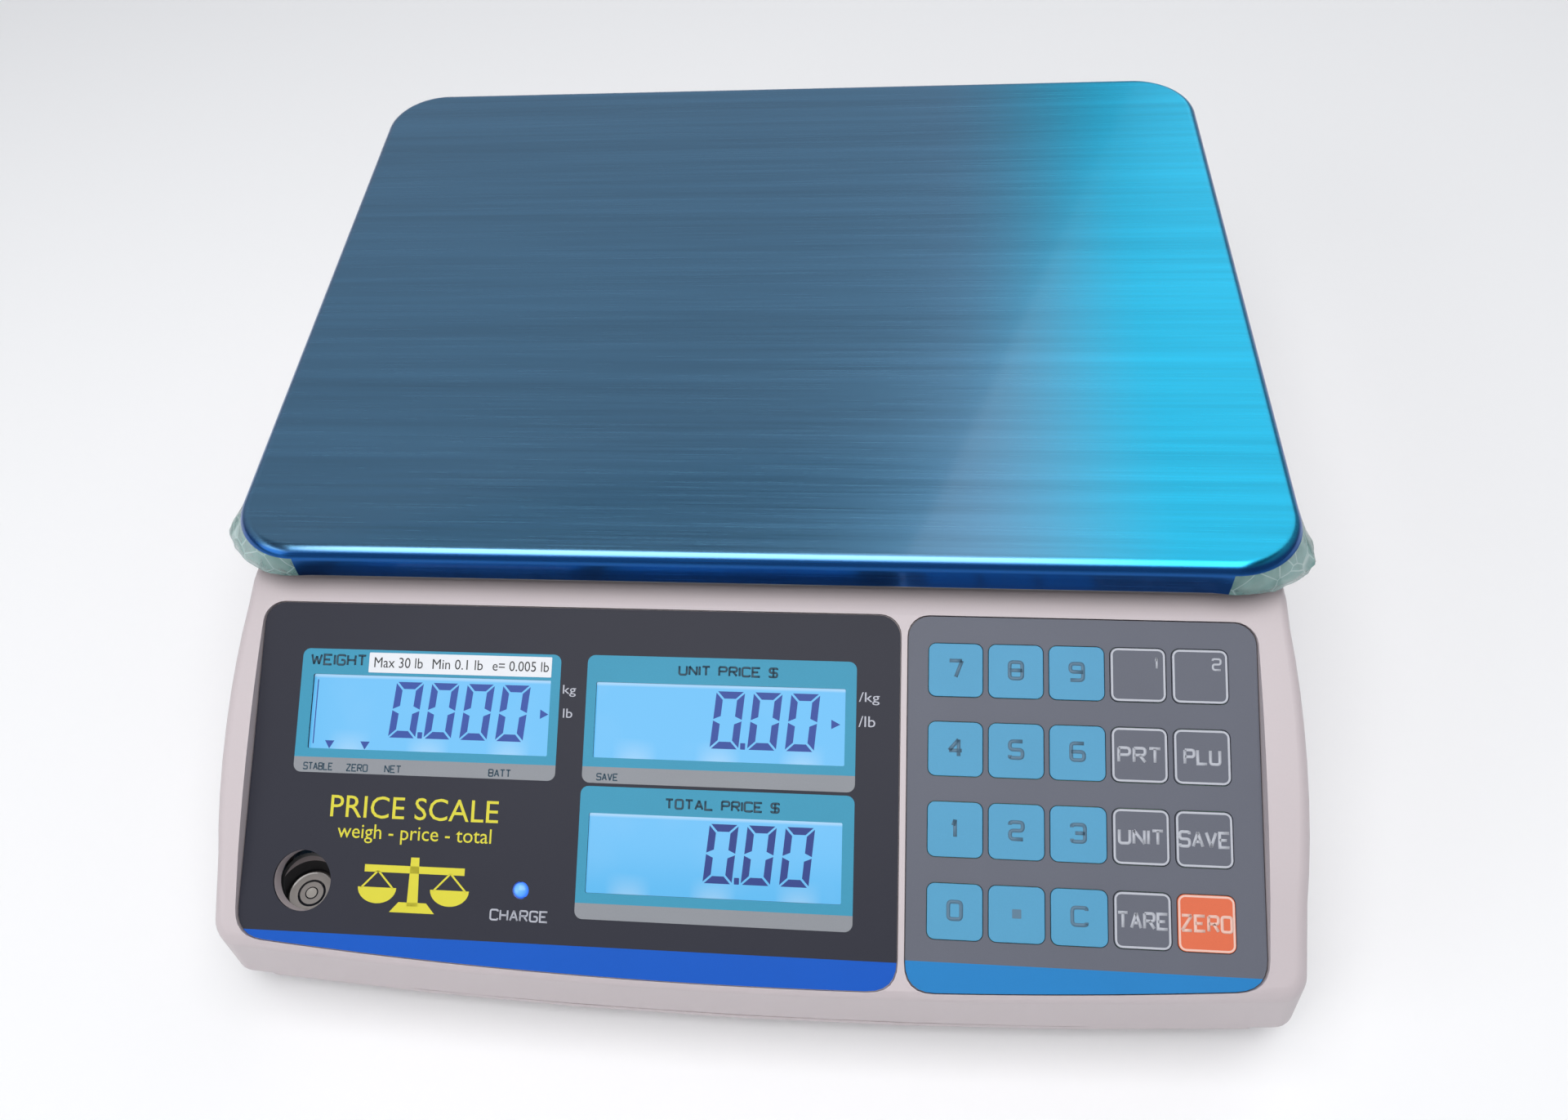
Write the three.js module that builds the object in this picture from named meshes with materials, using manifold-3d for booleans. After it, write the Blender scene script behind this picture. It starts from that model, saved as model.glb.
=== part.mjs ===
// Countertop price-computing scale: a stainless platter on a single-point load cell, a wedge case with
// three displays and a twenty-key pad. Millimetres, +Z up, the operator on the -Y side, origin on the
// surface it stands on, under the middle of its bounding box.
import * as THREE from 'three';
import { mergeVertices } from 'three/addons/utils/BufferGeometryUtils.js';
import Module from 'manifold-3d';

const wasm = await Module();
wasm.setup();

// driving dimensions

const GAP = 0.3;                 // clearance between pieces that touch
const WALL = 3;                  // moulded wall thickness

// platter
const PAN_WIDTH = 300;
const PAN_DEPTH = 230;
const PAN_TOP = 108;             // height of the weighing surface
const PAN_Y = 47;                // middle of the platter, front to back
const PAN_SKIRT = 10.5;          // height of the folded rim
const PAN_CORNER = 20;           // plan radius of the corners
const PAN_EDGE = 3.5;            // rounding between top and rim
const PAN_SHEET = 1.2;           // steel thickness
const FILM_SHEET = 0.25;         // protective film left on the platter
const FILM_LOOSE = 2.3;          // how far the film stands off the front corners

// case
const CASE_BOTTOM = 10.7;
const PARTING_Z = 14;            // seam between the lower and the upper case
const DECK_TOP = 92;
const FRONT_Y = -164.1;
const REAR_Y = 162;
const HALF_WIDTH = 150.4;        // widest, half way down the panel
const HALF_WAIST = 148.4;        // at the ends of the bowed sides and under the platter
const FRONT_SAG = 5.3;           // bow of the front face
const CASE_CORNER = 7;
const RAIL_ROUND = 6;            // rounding along the side edges

// operator panel: a plane whose local x runs right, y up the slope and z out of it
const PANEL_TOP_Y = -72.1;
const PANEL_TOP_Z = 89.7;
const PANEL_SLOPE = THREE.MathUtils.degToRad(27.3);
const OVERLAY = 0.8;             // printed film thickness, with its adhesive
const DISPLAY_BED = 1.1;         // depth of the pocket under the display film
const KEYPAD_BED = 2.3;          // and under the keypad film and its circuit
const DISPLAY_LEFT = -141.7;
const DISPLAY_RIGHT = 43.5;
const KEYPAD_LEFT = 45.7;
const KEYPAD_RIGHT = 138.7;
const RIB_RISE = 0.3;            // how far the case between the films stands above them
const PANEL_FOOT = 101.9;        // slope length to the lowest point of the bottom edge
const PANEL_FOOT_SAG = 6.2;      // how much higher that edge is at the sides

// keys
const KEY = 14.65;
const KEY_CORNER = 2;
const KEY_GAP = 0.2;
const KEY_RISE = 0.3;
const KEY_LEFT = 51.35;
const KEY_PITCH_X = 16.26;
const KEY_TOP = 7.5;
const KEY_PITCH_Y = 21.64;
const KEY_ROWS = [
  ['7', '8', '9', 'f1', 'f2'],
  ['4', '5', '6', 'print', 'plu'],
  ['1', '2', '3', 'unit', 'save'],
  ['0', 'point', 'clear', 'tare', 'zero'],
];

// displays: [name, left, right, top, bottom] of the lit area, in panel x and distance down the slope
const DISPLAYS = [
  ['weight_lcd', -125.5, -55, 20.9, 42.4],
  ['unit_price_lcd', -41.8, 28.6, 20.9, 42.2],
  ['total_price_lcd', -42, 28.4, 57.6, 79.4],
];
const LCD_BORDER = 1.6;          // glass hidden behind the film all round
const LCD_THICK = 8;

const LEVEL_X = -123.7;
const LEVEL_DOWN = 79.7;
const LEVEL_RADIUS = 8.5;
const VIAL_DROP = 8.5;           // height of the window above the vial
const VIAL_RADIUS = 7;
const VIAL_HEIGHT = 7;
const CUP_WALL = 1.4;
const LED_X = -60.3;
const LED_DOWN = 79.6;
const LED_RADIUS = 2.1;

// weighing mechanism
const CELL = { length: 130, width: 30, height: 22, bottom: 40 };
const CELL_END = 30;             // length of the clamped and of the loaded end
const SPIDER_BOTTOM = 95.5;
const SPIDER_THICK = 5.5;
const PAD_X = 105;
const PAD_Y = 75;

// feet
const FOOT_X = 128;
const FOOT_FRONT_Y = -135;
const FOOT_REAR_Y = 140;
const FOOT_RADIUS = 13;
const FOOT_HEIGHT = 8;
const STUD_RADIUS = 3;
const STUD_TOP = 30;
const BOSS_TOP = 24;

// ports and power
const INLET_X = -110;
const SERIAL_X = 80;
const PORT_Z = 40;
const SWITCH_Y = 10;
const SWITCH_REST = THREE.MathUtils.degToRad(7);
const BATTERY = { x: -24.5, y: 112, length: 101, depth: 70, height: 47 };

// helpers

const scale = new THREE.Group();
const panel = new THREE.Group();
panel.position.set(0, PANEL_TOP_Y, PANEL_TOP_Z);
panel.rotation.x = PANEL_SLOPE;
panel.updateMatrixWorld(true);
scale.add(panel);

function material(color, roughness, metalness = 0) {
  return new THREE.MeshStandardMaterial({ color, roughness, metalness });
}

function addPiece(parent, name, geometry, surface) {
  const mesh = new THREE.Mesh(geometry, surface.clone());
  mesh.name = name;
  parent.add(mesh);
  return mesh;
}

// a closed geometry as a solid that can be joined and cut
function solid(geometry) {
  const bare = geometry.clone();
  bare.deleteAttribute('normal');
  bare.deleteAttribute('uv');
  const merged = mergeVertices(bare, 1e-4);
  return new wasm.Manifold(new wasm.Mesh({
    numProp: 3,
    vertProperties: new Float32Array(merged.attributes.position.array),
    triVerts: new Uint32Array(merged.index.array),
  }));
}

function geometryOf(body) {
  const mesh = body.getMesh();
  const geometry = new THREE.BufferGeometry();
  geometry.setAttribute('position', new THREE.BufferAttribute(new Float32Array(mesh.vertProperties), 3));
  geometry.setIndex(new THREE.BufferAttribute(new Uint32Array(mesh.triVerts), 1));
  geometry.computeVertexNormals();
  return geometry;
}

function box(x0, x1, y0, y1, z0, z1) {
  const geometry = new THREE.BoxGeometry(x1 - x0, y1 - y0, z1 - z0);
  return geometry.translate((x0 + x1) / 2, (y0 + y1) / 2, (z0 + z1) / 2);
}

function cylinder(radius, z0, z1, x = 0, y = 0, sides = 24) {
  const geometry = new THREE.CylinderGeometry(radius, radius, z1 - z0, sides);
  return geometry.rotateX(Math.PI / 2).translate(x, y, (z0 + z1) / 2);
}

function prism(shape, z0, z1, curveSegments = 6) {
  const geometry = new THREE.ExtrudeGeometry(shape, { depth: z1 - z0, bevelEnabled: false, curveSegments });
  return geometry.translate(0, 0, z0);
}

// a profile drawn in (y, z), swept along X between -half and +half, its end edges rounded by round
function sweepX(profile, half, round = 0) {
  const geometry = new THREE.ExtrudeGeometry(profile, {
    depth: 2 * (half - round),
    bevelEnabled: round > 0,
    bevelSize: round,
    bevelOffset: -round,
    bevelThickness: round,
    bevelSegments: 3,
    curveSegments: 8,
  });
  geometry.translate(0, 0, round - half);
  const yzx = new THREE.Matrix4().makeBasis(
    new THREE.Vector3(0, 1, 0), new THREE.Vector3(0, 0, 1), new THREE.Vector3(1, 0, 0));
  return geometry.applyMatrix4(yzx);
}

function roundedRect(x0, x1, y0, y1, r) {
  const shape = new THREE.Shape();
  shape.moveTo(x0 + r, y0);
  shape.lineTo(x1 - r, y0);
  shape.absarc(x1 - r, y0 + r, r, -Math.PI / 2, 0, false);
  shape.lineTo(x1, y1 - r);
  shape.absarc(x1 - r, y1 - r, r, 0, Math.PI / 2, false);
  shape.lineTo(x0 + r, y1);
  shape.absarc(x0 + r, y1 - r, r, Math.PI / 2, Math.PI, false);
  shape.lineTo(x0, y0 + r);
  shape.absarc(x0 + r, y0 + r, r, Math.PI, 1.5 * Math.PI, false);
  return shape;
}

// rings of equal point count stacked into one closed skin, capped at the first and the last ring
function skin(rings) {
  const count = rings[0].length;
  const position = rings.flat().flatMap((p) => [p.x, p.y, p.z]);
  const index = [];
  for (let r = 0; r + 1 < rings.length; r += 1) {
    for (let i = 0; i < count; i += 1) {
      const a = r * count + i;
      const b = r * count + (i + 1) % count;
      index.push(a, b, b + count, a, b + count, a + count);
    }
  }
  const cap = (ring, offset, up) => {
    const faces = THREE.ShapeUtils.triangulateShape(ring.map((p) => new THREE.Vector2(p.x, p.y)), []);
    faces.forEach(([a, b, c]) => index.push(offset + a, offset + (up ? b : c), offset + (up ? c : b)));
  };
  cap(rings[0], 0, false);
  cap(rings.at(-1), (rings.length - 1) * count, true);
  const geometry = new THREE.BufferGeometry();
  geometry.setAttribute('position', new THREE.Float32BufferAttribute(position, 3));
  geometry.setIndex(index);
  geometry.computeVertexNormals();
  return geometry;
}

// finishes

const casePlastic = material(0xd0c6c7, 0.55);
const darkPlastic = material(0x2a2a2d, 0.5);
const steel = material(0x3f6079, 0.3, 1);
const film = material(0x8fa89a, 0.2);
const overlayPrint = material(0x50505a, 0.6);
const keyBlue = material(0x52b4de, 0.5);
const keyDark = material(0x5a5c66, 0.55);
const keyOrange = material(0xee7f58, 0.5);
const displayGlass = material(0x7cccff, 0.15);
const circuitBoard = material(0x1d5b38, 0.6);
const aluminium = material(0xb9bdc2, 0.35, 1);
const rubber = material(0x1b1b1d, 0.85);
const zinc = material(0xc4c7ca, 0.35, 1);
const vialGlass = material(0xdfe6c8, 0.1);
const ledBlue = material(0x3f7dff, 0.3);

// platter and its film

// rounded outline of the platter, grown by out; loose adds a bulge round the two front corners
function panRing(out, z, loose = 0) {
  const halfX = PAN_WIDTH / 2 + out;
  const halfY = PAN_DEPTH / 2 + out;
  const outline = roundedRect(-halfX, halfX, -halfY, halfY, PAN_CORNER + out).getPoints(6);
  outline.pop();
  return outline.map((p) => {
    const alongFront = Math.max(0, (Math.abs(p.x) - 110) / 40);
    const nearFront = Math.max(0, (-p.y - 60) / 55);
    const bulge = loose * Math.min(1, alongFront) * Math.min(1, nearFront);
    return new THREE.Vector3(p.x + Math.sign(p.x) * bulge, p.y + PAN_Y, z);
  });
}

// the rounded edge seen in section, from the rim to the top
function edgeRings(out, top, loose = 0) {
  const steps = 3;
  const radius = PAN_EDGE + out;
  return Array.from({ length: steps + 1 }, (_, i) => {
    const angle = (i / steps) * (Math.PI / 2);
    const inset = radius * (1 - Math.cos(angle));
    return panRing(out - inset, top - radius + radius * Math.sin(angle), loose * (1 - i / steps));
  });
}

function panShell(innerOut, outerOut, rim, innerTop, outerTop, loose = 0) {
  const inner = edgeRings(innerOut, innerTop, loose).reverse();
  const outer = edgeRings(outerOut, outerTop, loose);
  return skin([...inner, panRing(innerOut, rim, loose), panRing(outerOut, rim, loose), ...outer]);
}

const panRim = PAN_TOP - PAN_SKIRT;
addPiece(scale, 'platter', panShell(-PAN_SHEET, 0, panRim, PAN_TOP - PAN_SHEET, PAN_TOP), steel);

const filmIn = GAP;
const filmOut = GAP + FILM_SHEET;
const filmRim = panRim + 1;
addPiece(scale, 'protective_film',
  panShell(filmIn, filmOut, filmRim, PAN_TOP + filmIn, PAN_TOP + filmOut, FILM_LOOSE), film);

// case

// plan outline of the case: bowed sides and front, rounded corners, all moved in by inset
function planOutline(inset) {
  const widest = HALF_WIDTH - inset;
  const waist = HALF_WAIST - inset;
  const front = FRONT_Y + inset;
  const rear = REAR_Y - inset;
  const corner = Math.max(CASE_CORNER - inset, 1.5);
  const sideFoot = front + FRONT_SAG + corner;
  const sideMiddle = (PANEL_TOP_Y + sideFoot) / 2;
  const frontEnd = front + FRONT_SAG * ((waist - corner) / waist) ** 2;
  const shape = new THREE.Shape();
  shape.moveTo(-waist, PANEL_TOP_Y);
  shape.quadraticCurveTo(waist - 2 * widest, sideMiddle, -waist, sideFoot);
  shape.quadraticCurveTo(-waist, front + FRONT_SAG, corner - waist, frontEnd);
  shape.quadraticCurveTo(0, 2 * front - frontEnd, waist - corner, frontEnd);
  shape.quadraticCurveTo(waist, front + FRONT_SAG, waist, sideFoot);
  shape.quadraticCurveTo(2 * widest - waist, sideMiddle, waist, PANEL_TOP_Y);
  shape.lineTo(waist, rear - corner);
  shape.quadraticCurveTo(waist, rear, waist - corner, rear);
  shape.lineTo(corner - waist, rear);
  shape.quadraticCurveTo(-waist, rear, -waist, rear - corner);
  return shape;
}

// height of the panel plane, moved out by lift along its normal, at a given y
function panelHeight(y, lift = 0) {
  return PANEL_TOP_Z + (y - PANEL_TOP_Y) * Math.tan(PANEL_SLOPE) + lift / Math.cos(PANEL_SLOPE);
}

// side view of the case: the rails stand above the flat panel between its top and its front lip
function sideProfile() {
  const lipY = FRONT_Y;
  const lipZ = panelHeight(FRONT_Y, 0.4);
  const middleY = (PANEL_TOP_Y + lipY) / 2;
  const railLift = 6;
  const shape = new THREE.Shape();
  shape.moveTo(FRONT_Y + 3, PARTING_Z);
  shape.lineTo(REAR_Y - 1, PARTING_Z);
  shape.lineTo(REAR_Y, DECK_TOP - 12);
  shape.quadraticCurveTo(REAR_Y, DECK_TOP, REAR_Y - 12, DECK_TOP);
  shape.lineTo(PANEL_TOP_Y + 8, DECK_TOP);
  shape.lineTo(PANEL_TOP_Y, panelHeight(PANEL_TOP_Y, 0.3));
  shape.quadraticCurveTo(middleY, panelHeight(middleY, railLift), lipY, lipZ);
  return shape;
}

function cavityProfile() {
  const ceiling = DECK_TOP - WALL;
  const under = -(KEYPAD_BED + WALL);
  const frontY = FRONT_Y + WALL + 1;
  const shape = new THREE.Shape();
  shape.moveTo(FRONT_Y + 2 * WALL, PARTING_Z - 1);
  shape.lineTo(REAR_Y - WALL - 1, PARTING_Z - 1);
  shape.lineTo(REAR_Y - WALL, DECK_TOP - 14);
  shape.lineTo(REAR_Y - WALL - 11, ceiling);
  shape.lineTo(PANEL_TOP_Y + 9, ceiling);
  shape.lineTo(PANEL_TOP_Y, panelHeight(PANEL_TOP_Y, under));
  shape.lineTo(frontY, panelHeight(frontY, under));
  return shape;
}

// outline of an overlay on the panel, y up the slope; its bottom edge is part of one long arc
function overlayOutline(left, right, grow = 0) {
  const edgeDown = (x) => PANEL_FOOT - PANEL_FOOT_SAG * (x / DISPLAY_LEFT) ** 2;
  const x0 = left - grow;
  const x1 = right + grow;
  const top = grow;
  const topCorner = 6;
  const footCorner = 8;
  const outline = new THREE.Shape();
  outline.moveTo(x0, -edgeDown(x0) - grow + footCorner);
  outline.quadraticCurveTo(x0, -edgeDown(x0) - grow, x0 + footCorner, -edgeDown(x0 + footCorner) - grow);
  const start = x0 + footCorner;
  const end = x1 - footCorner;
  const steps = 8;
  for (let i = 1; i <= steps; i += 1) {
    const x = start + ((end - start) * i) / steps;
    outline.lineTo(x, -edgeDown(x) - grow);
  }
  outline.quadraticCurveTo(x1, -edgeDown(x1) - grow, x1, -edgeDown(x1) - grow + footCorner);
  outline.lineTo(x1, top - topCorner);
  outline.absarc(x1 - topCorner, top - topCorner, topCorner, 0, Math.PI / 2, false);
  outline.lineTo(x0 + topCorner, top);
  outline.absarc(x0 + topCorner, top - topCorner, topCorner, Math.PI / 2, Math.PI, false);
  return outline;
}

// a cutter drawn on the panel, moved into the frame of the whole scale
function fromPanel(geometry) {
  return solid(geometry.clone().applyMatrix4(panel.matrixWorld));
}

function displayRect(display, grow, low, high) {
  const [, left, right, top, bottom] = display;
  return box(left - grow, right + grow, -bottom - grow, -top + grow, low, high);
}

const levelY = PANEL_TOP_Y - LEVEL_DOWN * Math.cos(PANEL_SLOPE);
const vialTop = PANEL_TOP_Z - LEVEL_DOWN * Math.sin(PANEL_SLOPE) - VIAL_DROP;
const vialFoot = vialTop - VIAL_HEIGHT;

const POST_X = CELL.length / 2 - CELL_END / 2;
const POST_HALF = { x: 17, y: 14 };

// a rounded block round the spider's post, grown beyond it by grow
function aroundPost(grow, corner, low, high) {
  const halfX = POST_HALF.x + grow;
  const halfY = POST_HALF.y + grow;
  const outline = roundedRect(POST_X - halfX, POST_X + halfX, PAN_Y - halfY, PAN_Y + halfY, corner);
  return prism(outline, low, high, 3);
}

function upperCase() {
  const deckBore = aroundPost(10, 6, DECK_TOP - 10, DECK_TOP + 10);
  const collar = aroundPost(10 + WALL, 6 + WALL, DECK_TOP - 1, DECK_TOP + 2.5);
  const shellFoot = PARTING_Z - 5;
  let body = solid(sweepX(sideProfile(), HALF_WIDTH, RAIL_ROUND));
  body = body.intersect(solid(prism(planOutline(0), shellFoot, DECK_TOP + 5)));
  const hollow = solid(sweepX(cavityProfile(), HALF_WIDTH + 5));
  body = body.subtract(hollow.intersect(solid(prism(planOutline(WALL), shellFoot, DECK_TOP))));
  body = body.add(solid(collar)).subtract(solid(deckBore));
  const through = -(KEYPAD_BED + 2 * WALL);
  const above = 12;
  const pockets = [
    [DISPLAY_LEFT, KEYPAD_RIGHT, RIB_RISE],
    [DISPLAY_LEFT, DISPLAY_RIGHT, -DISPLAY_BED],
    [KEYPAD_LEFT, KEYPAD_RIGHT, -KEYPAD_BED],
  ];
  pockets.forEach(([left, right, floor]) => {
    body = body.subtract(fromPanel(prism(overlayOutline(left, right, GAP), floor, above)));
  });
  DISPLAYS.forEach((display) => {
    body = body.subtract(fromPanel(displayRect(display, LCD_BORDER + GAP, through, 0)));
  });
  body = body.subtract(fromPanel(cylinder(LEVEL_RADIUS, through, above, LEVEL_X, -LEVEL_DOWN)));
  body = body.subtract(solid(cylinder(VIAL_RADIUS + 2 * GAP, vialFoot, vialTop + 10, LEVEL_X, levelY)));
  body = body.subtract(fromPanel(cylinder(LED_RADIUS + GAP, through, above, LED_X, -LED_DOWN, 16)));
  const tail = { left: 82, right: 102, down: 93.5, width: 2.5 };
  const tailSlot = box(tail.left, tail.right, -tail.down - tail.width, -tail.down, through, 0);
  body = body.subtract(fromPanel(tailSlot));
  const wallHoles = [
    [INLET_X, REAR_Y, 14 + GAP, 8, 10 + GAP],
    [SERIAL_X, REAR_Y, 9.5 + GAP, 8, 5.5 + GAP],
    [HALF_WAIST, SWITCH_Y, 8, 9.5 + GAP, 6.5 + GAP],
  ];
  wallHoles.forEach(([x, y, halfX, halfY, halfZ]) => {
    const hole = box(x - halfX, x + halfX, y - halfY, y + halfY, PORT_Z - halfZ, PORT_Z + halfZ);
    body = body.subtract(solid(hole));
  });
  return geometryOf(body);
}

const feet = [
  ['front_left', -FOOT_X, FOOT_FRONT_Y],
  ['front_right', FOOT_X, FOOT_FRONT_Y],
  ['rear_left', -FOOT_X, FOOT_REAR_Y],
  ['rear_right', FOOT_X, FOOT_REAR_Y],
];

// the hatch under the battery, grown all round, between two heights
function batteryHatch(grow, low, high) {
  const halfX = BATTERY.length / 2 + grow;
  const halfY = BATTERY.depth / 2 + grow;
  const { x, y } = BATTERY;
  return prism(roundedRect(x - halfX, x + halfX, y - halfY, y + halfY, 1), low, high, 2);
}

function lowerCase() {
  const floorTop = PARTING_Z - GAP;
  const rimTop = 21;
  const rimInset = 7;
  let body = solid(prism(planOutline(5), CASE_BOTTOM, floorTop));
  body = body.add(solid(prism(planOutline(3), CASE_BOTTOM + 1, floorTop)));
  body = body.add(solid(prism(planOutline(rimInset), floorTop - 1, rimTop)));
  body = body.subtract(solid(prism(planOutline(rimInset + 2), floorTop, rimTop + 1)));
  feet.forEach(([, x, y]) => {
    body = body.add(solid(cylinder(STUD_RADIUS + 4, floorTop - 1, BOSS_TOP, x, y)));
  });
  feet.forEach(([, x, y]) => {
    body = body.subtract(solid(cylinder(STUD_RADIUS + GAP, 0, BOSS_TOP + 5, x, y, 16)));
  });
  return geometryOf(body.subtract(solid(batteryHatch(2, 0, PARTING_Z + 5))));
}

addPiece(scale, 'upper_case', upperCase(), casePlastic);
addPiece(scale, 'lower_case', lowerCase(), casePlastic);

addPiece(scale, 'battery_cover', batteryHatch(2 - GAP, CASE_BOTTOM, PARTING_Z - GAP), casePlastic);

// operator panel

function keyOutline(column, row, grow = 0) {
  const left = KEY_LEFT + column * KEY_PITCH_X - grow;
  const top = -(KEY_TOP + row * KEY_PITCH_Y) + grow;
  const size = KEY + 2 * grow;
  return roundedRect(left, left + size, top - size, top, KEY_CORNER + grow);
}

function displayOverlay() {
  let body = solid(prism(overlayOutline(DISPLAY_LEFT, DISPLAY_RIGHT), -OVERLAY, 0));
  DISPLAYS.forEach((display) => {
    body = body.subtract(solid(displayRect(display, 0, -2, 2)));
  });
  body = body.subtract(solid(cylinder(LEVEL_RADIUS, -2, 2, LEVEL_X, -LEVEL_DOWN)));
  body = body.subtract(solid(cylinder(LED_RADIUS + GAP, -2, 2, LED_X, -LED_DOWN, 16)));
  return geometryOf(body);
}
addPiece(panel, 'display_overlay', displayOverlay(), overlayPrint);

function keypadOverlay() {
  const outline = overlayOutline(KEYPAD_LEFT, KEYPAD_RIGHT);
  KEY_ROWS.forEach((names, row) => {
    names.forEach((name, column) => {
      outline.holes.push(new THREE.Path(keyOutline(column, row, KEY_GAP).getPoints(2)));
    });
  });
  return prism(outline, -OVERLAY, 0);
}
addPiece(panel, 'keypad_overlay', keypadOverlay(), overlayPrint);

const circuitTop = -(OVERLAY + GAP + 0.1);
const circuitOutline = roundedRect(KEYPAD_LEFT + 3, KEYPAD_RIGHT - 3, -94, -4, 2);
addPiece(panel, 'keypad_circuit', prism(circuitOutline, GAP - KEYPAD_BED, circuitTop, 2), circuitBoard);

KEY_ROWS.forEach((names, row) => {
  names.forEach((name, column) => {
    const orange = name === 'zero';
    const digitColumns = 3;
    const surface = orange ? keyOrange : (column < digitColumns ? keyBlue : keyDark);
    addPiece(panel, `key_${name}`, prism(keyOutline(column, row), -OVERLAY - 0.1, KEY_RISE, 2), surface);
  });
});

const lcdTop = -(OVERLAY + GAP + 0.1);
DISPLAYS.forEach((display) => {
  addPiece(panel, display[0], displayRect(display, LCD_BORDER, lcdTop - LCD_THICK, lcdTop), displayGlass);
});
const boardTop = lcdTop - LCD_THICK - GAP;
const BOARD_THICK = 1.6;
addPiece(panel, 'display_board', box(-132, 42, -56, -8, boardTop - BOARD_THICK, boardTop), circuitBoard);
addPiece(panel, 'charge_led', cylinder(LED_RADIUS, boardTop + GAP, 0, LED_X, -LED_DOWN, 16), ledBlue);

// level

// an upright cup under the window, its mouth trimmed parallel to the panel
function levelCup() {
  const floorThick = 1.5;
  const cupFoot = vialFoot - GAP - floorThick;
  const outer = cylinder(LEVEL_RADIUS + CUP_WALL, cupFoot, vialTop + 12, LEVEL_X, levelY);
  const inner = cylinder(VIAL_RADIUS + GAP, cupFoot + floorThick, vialTop + 20, LEVEL_X, levelY);
  const mouth = -(DISPLAY_BED + KEYPAD_BED + WALL + 2 * GAP);
  const trim = box(LEVEL_X - 25, LEVEL_X + 25, -LEVEL_DOWN - 25, -LEVEL_DOWN + 25, mouth, mouth + 40);
  return geometryOf(solid(outer).subtract(solid(inner)).subtract(fromPanel(trim)));
}
addPiece(scale, 'level_cup', levelCup(), casePlastic);
addPiece(scale, 'level_vial', cylinder(VIAL_RADIUS, vialFoot, vialTop, LEVEL_X, levelY), vialGlass);

// weighing mechanism

const cellTop = CELL.bottom + CELL.height;

function loadCell() {
  const half = CELL.length / 2;
  const middle = CELL.bottom + CELL.height / 2;
  const boreX = 15;
  const boreRadius = 8.5;
  const slotHalf = 2;
  let body = solid(box(-half, half, PAN_Y - CELL.width / 2, PAN_Y + CELL.width / 2, CELL.bottom, cellTop));
  [-boreX, boreX].forEach((x) => {
    const bore = new THREE.CylinderGeometry(boreRadius, boreRadius, CELL.width + 4, 24);
    body = body.subtract(solid(bore.translate(x, PAN_Y, middle)));
  });
  const slot = box(
    -boreX, boreX, PAN_Y - CELL.width, PAN_Y + CELL.width, middle - slotHalf, middle + slotHalf);
  return geometryOf(body.subtract(solid(slot)));
}
addPiece(scale, 'load_cell', loadCell(), aluminium);

const cellLeft = -CELL.length / 2;
const baseHalfY = 18;
const cellBase = box(
  cellLeft, cellLeft + CELL_END, PAN_Y - baseHalfY, PAN_Y + baseHalfY, PARTING_Z, CELL.bottom - GAP);
addPiece(scale, 'load_cell_base', cellBase, aluminium);

function overloadStop() {
  const bolt = cylinder(4, PARTING_Z + 4, CELL.bottom - 0.8, POST_X, PAN_Y, 16);
  const head = cylinder(7, PARTING_Z, PARTING_Z + 5, POST_X, PAN_Y, 6);
  return geometryOf(solid(bolt).add(solid(head)));
}
addPiece(scale, 'overload_stop', overloadStop(), zinc);

function spider() {
  const armWidth = 22;
  const armAngle = Math.atan2(PAD_Y, PAD_X);
  const armLength = 2 * Math.hypot(PAD_X, PAD_Y) + armWidth;
  const top = SPIDER_BOTTOM + SPIDER_THICK;
  let body = solid(box(-70, 70, PAN_Y - 32, PAN_Y + 32, SPIDER_BOTTOM, top));
  [armAngle, -armAngle].forEach((angle) => {
    const arm = box(-armLength / 2, armLength / 2, -armWidth / 2, armWidth / 2, SPIDER_BOTTOM, top);
    body = body.add(solid(arm.rotateZ(angle).translate(0, PAN_Y, 0)));
  });
  const post = box(POST_X - POST_HALF.x, POST_X + POST_HALF.x, PAN_Y - POST_HALF.y, PAN_Y + POST_HALF.y,
    cellTop + GAP, SPIDER_BOTTOM + 1);
  return geometryOf(body.add(solid(post)));
}
addPiece(scale, 'platter_spider', spider(), aluminium);

[['front_left', -1, -1], ['front_right', 1, -1], ['rear_left', -1, 1], ['rear_right', 1, 1]]
  .forEach(([corner, sideX, sideY]) => {
    const padBottom = SPIDER_BOTTOM + SPIDER_THICK + GAP;
    const pad = cylinder(8, padBottom, PAN_TOP - PAN_SHEET - GAP, sideX * PAD_X, PAN_Y + sideY * PAD_Y, 20);
    addPiece(scale, `platter_pad_${corner}`, pad, rubber);
  });

// electronics and power

function mainBoard() {
  const top = 23.6;
  let body = solid(box(10, 115, -140, -70, top - BOARD_THICK, top));
  // x, y, width, depth and height of each chip or connector
  const parts = [
    [30, -120, 14, 14, 3],
    [60, -105, 20, 20, 3],
    [95, -90, 12, 10, 9],
    [85, -125, 24, 6, 8],
  ];
  parts.forEach(([x, y, width, depth, height]) => {
    const part = box(x - width / 2, x + width / 2, y - depth / 2, y + depth / 2, top - 0.5, top + height);
    body = body.add(solid(part));
  });
  return geometryOf(body);
}
addPiece(scale, 'main_board', mainBoard(), circuitBoard);

function battery() {
  const block = new THREE.BoxGeometry(BATTERY.length, BATTERY.depth, BATTERY.height);
  return block.translate(BATTERY.x, BATTERY.y, PARTING_Z + BATTERY.height / 2);
}
addPiece(scale, 'battery', battery(), darkPlastic);

const powerBoardTop = 19.6;
const powerBoard = box(45, 112, 88, 148, powerBoardTop - BOARD_THICK, powerBoardTop);
addPiece(scale, 'power_board', powerBoard, circuitBoard);
addPiece(scale, 'transformer', box(58, 98, 96, 131, powerBoardTop + GAP, 52), darkPlastic);

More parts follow.
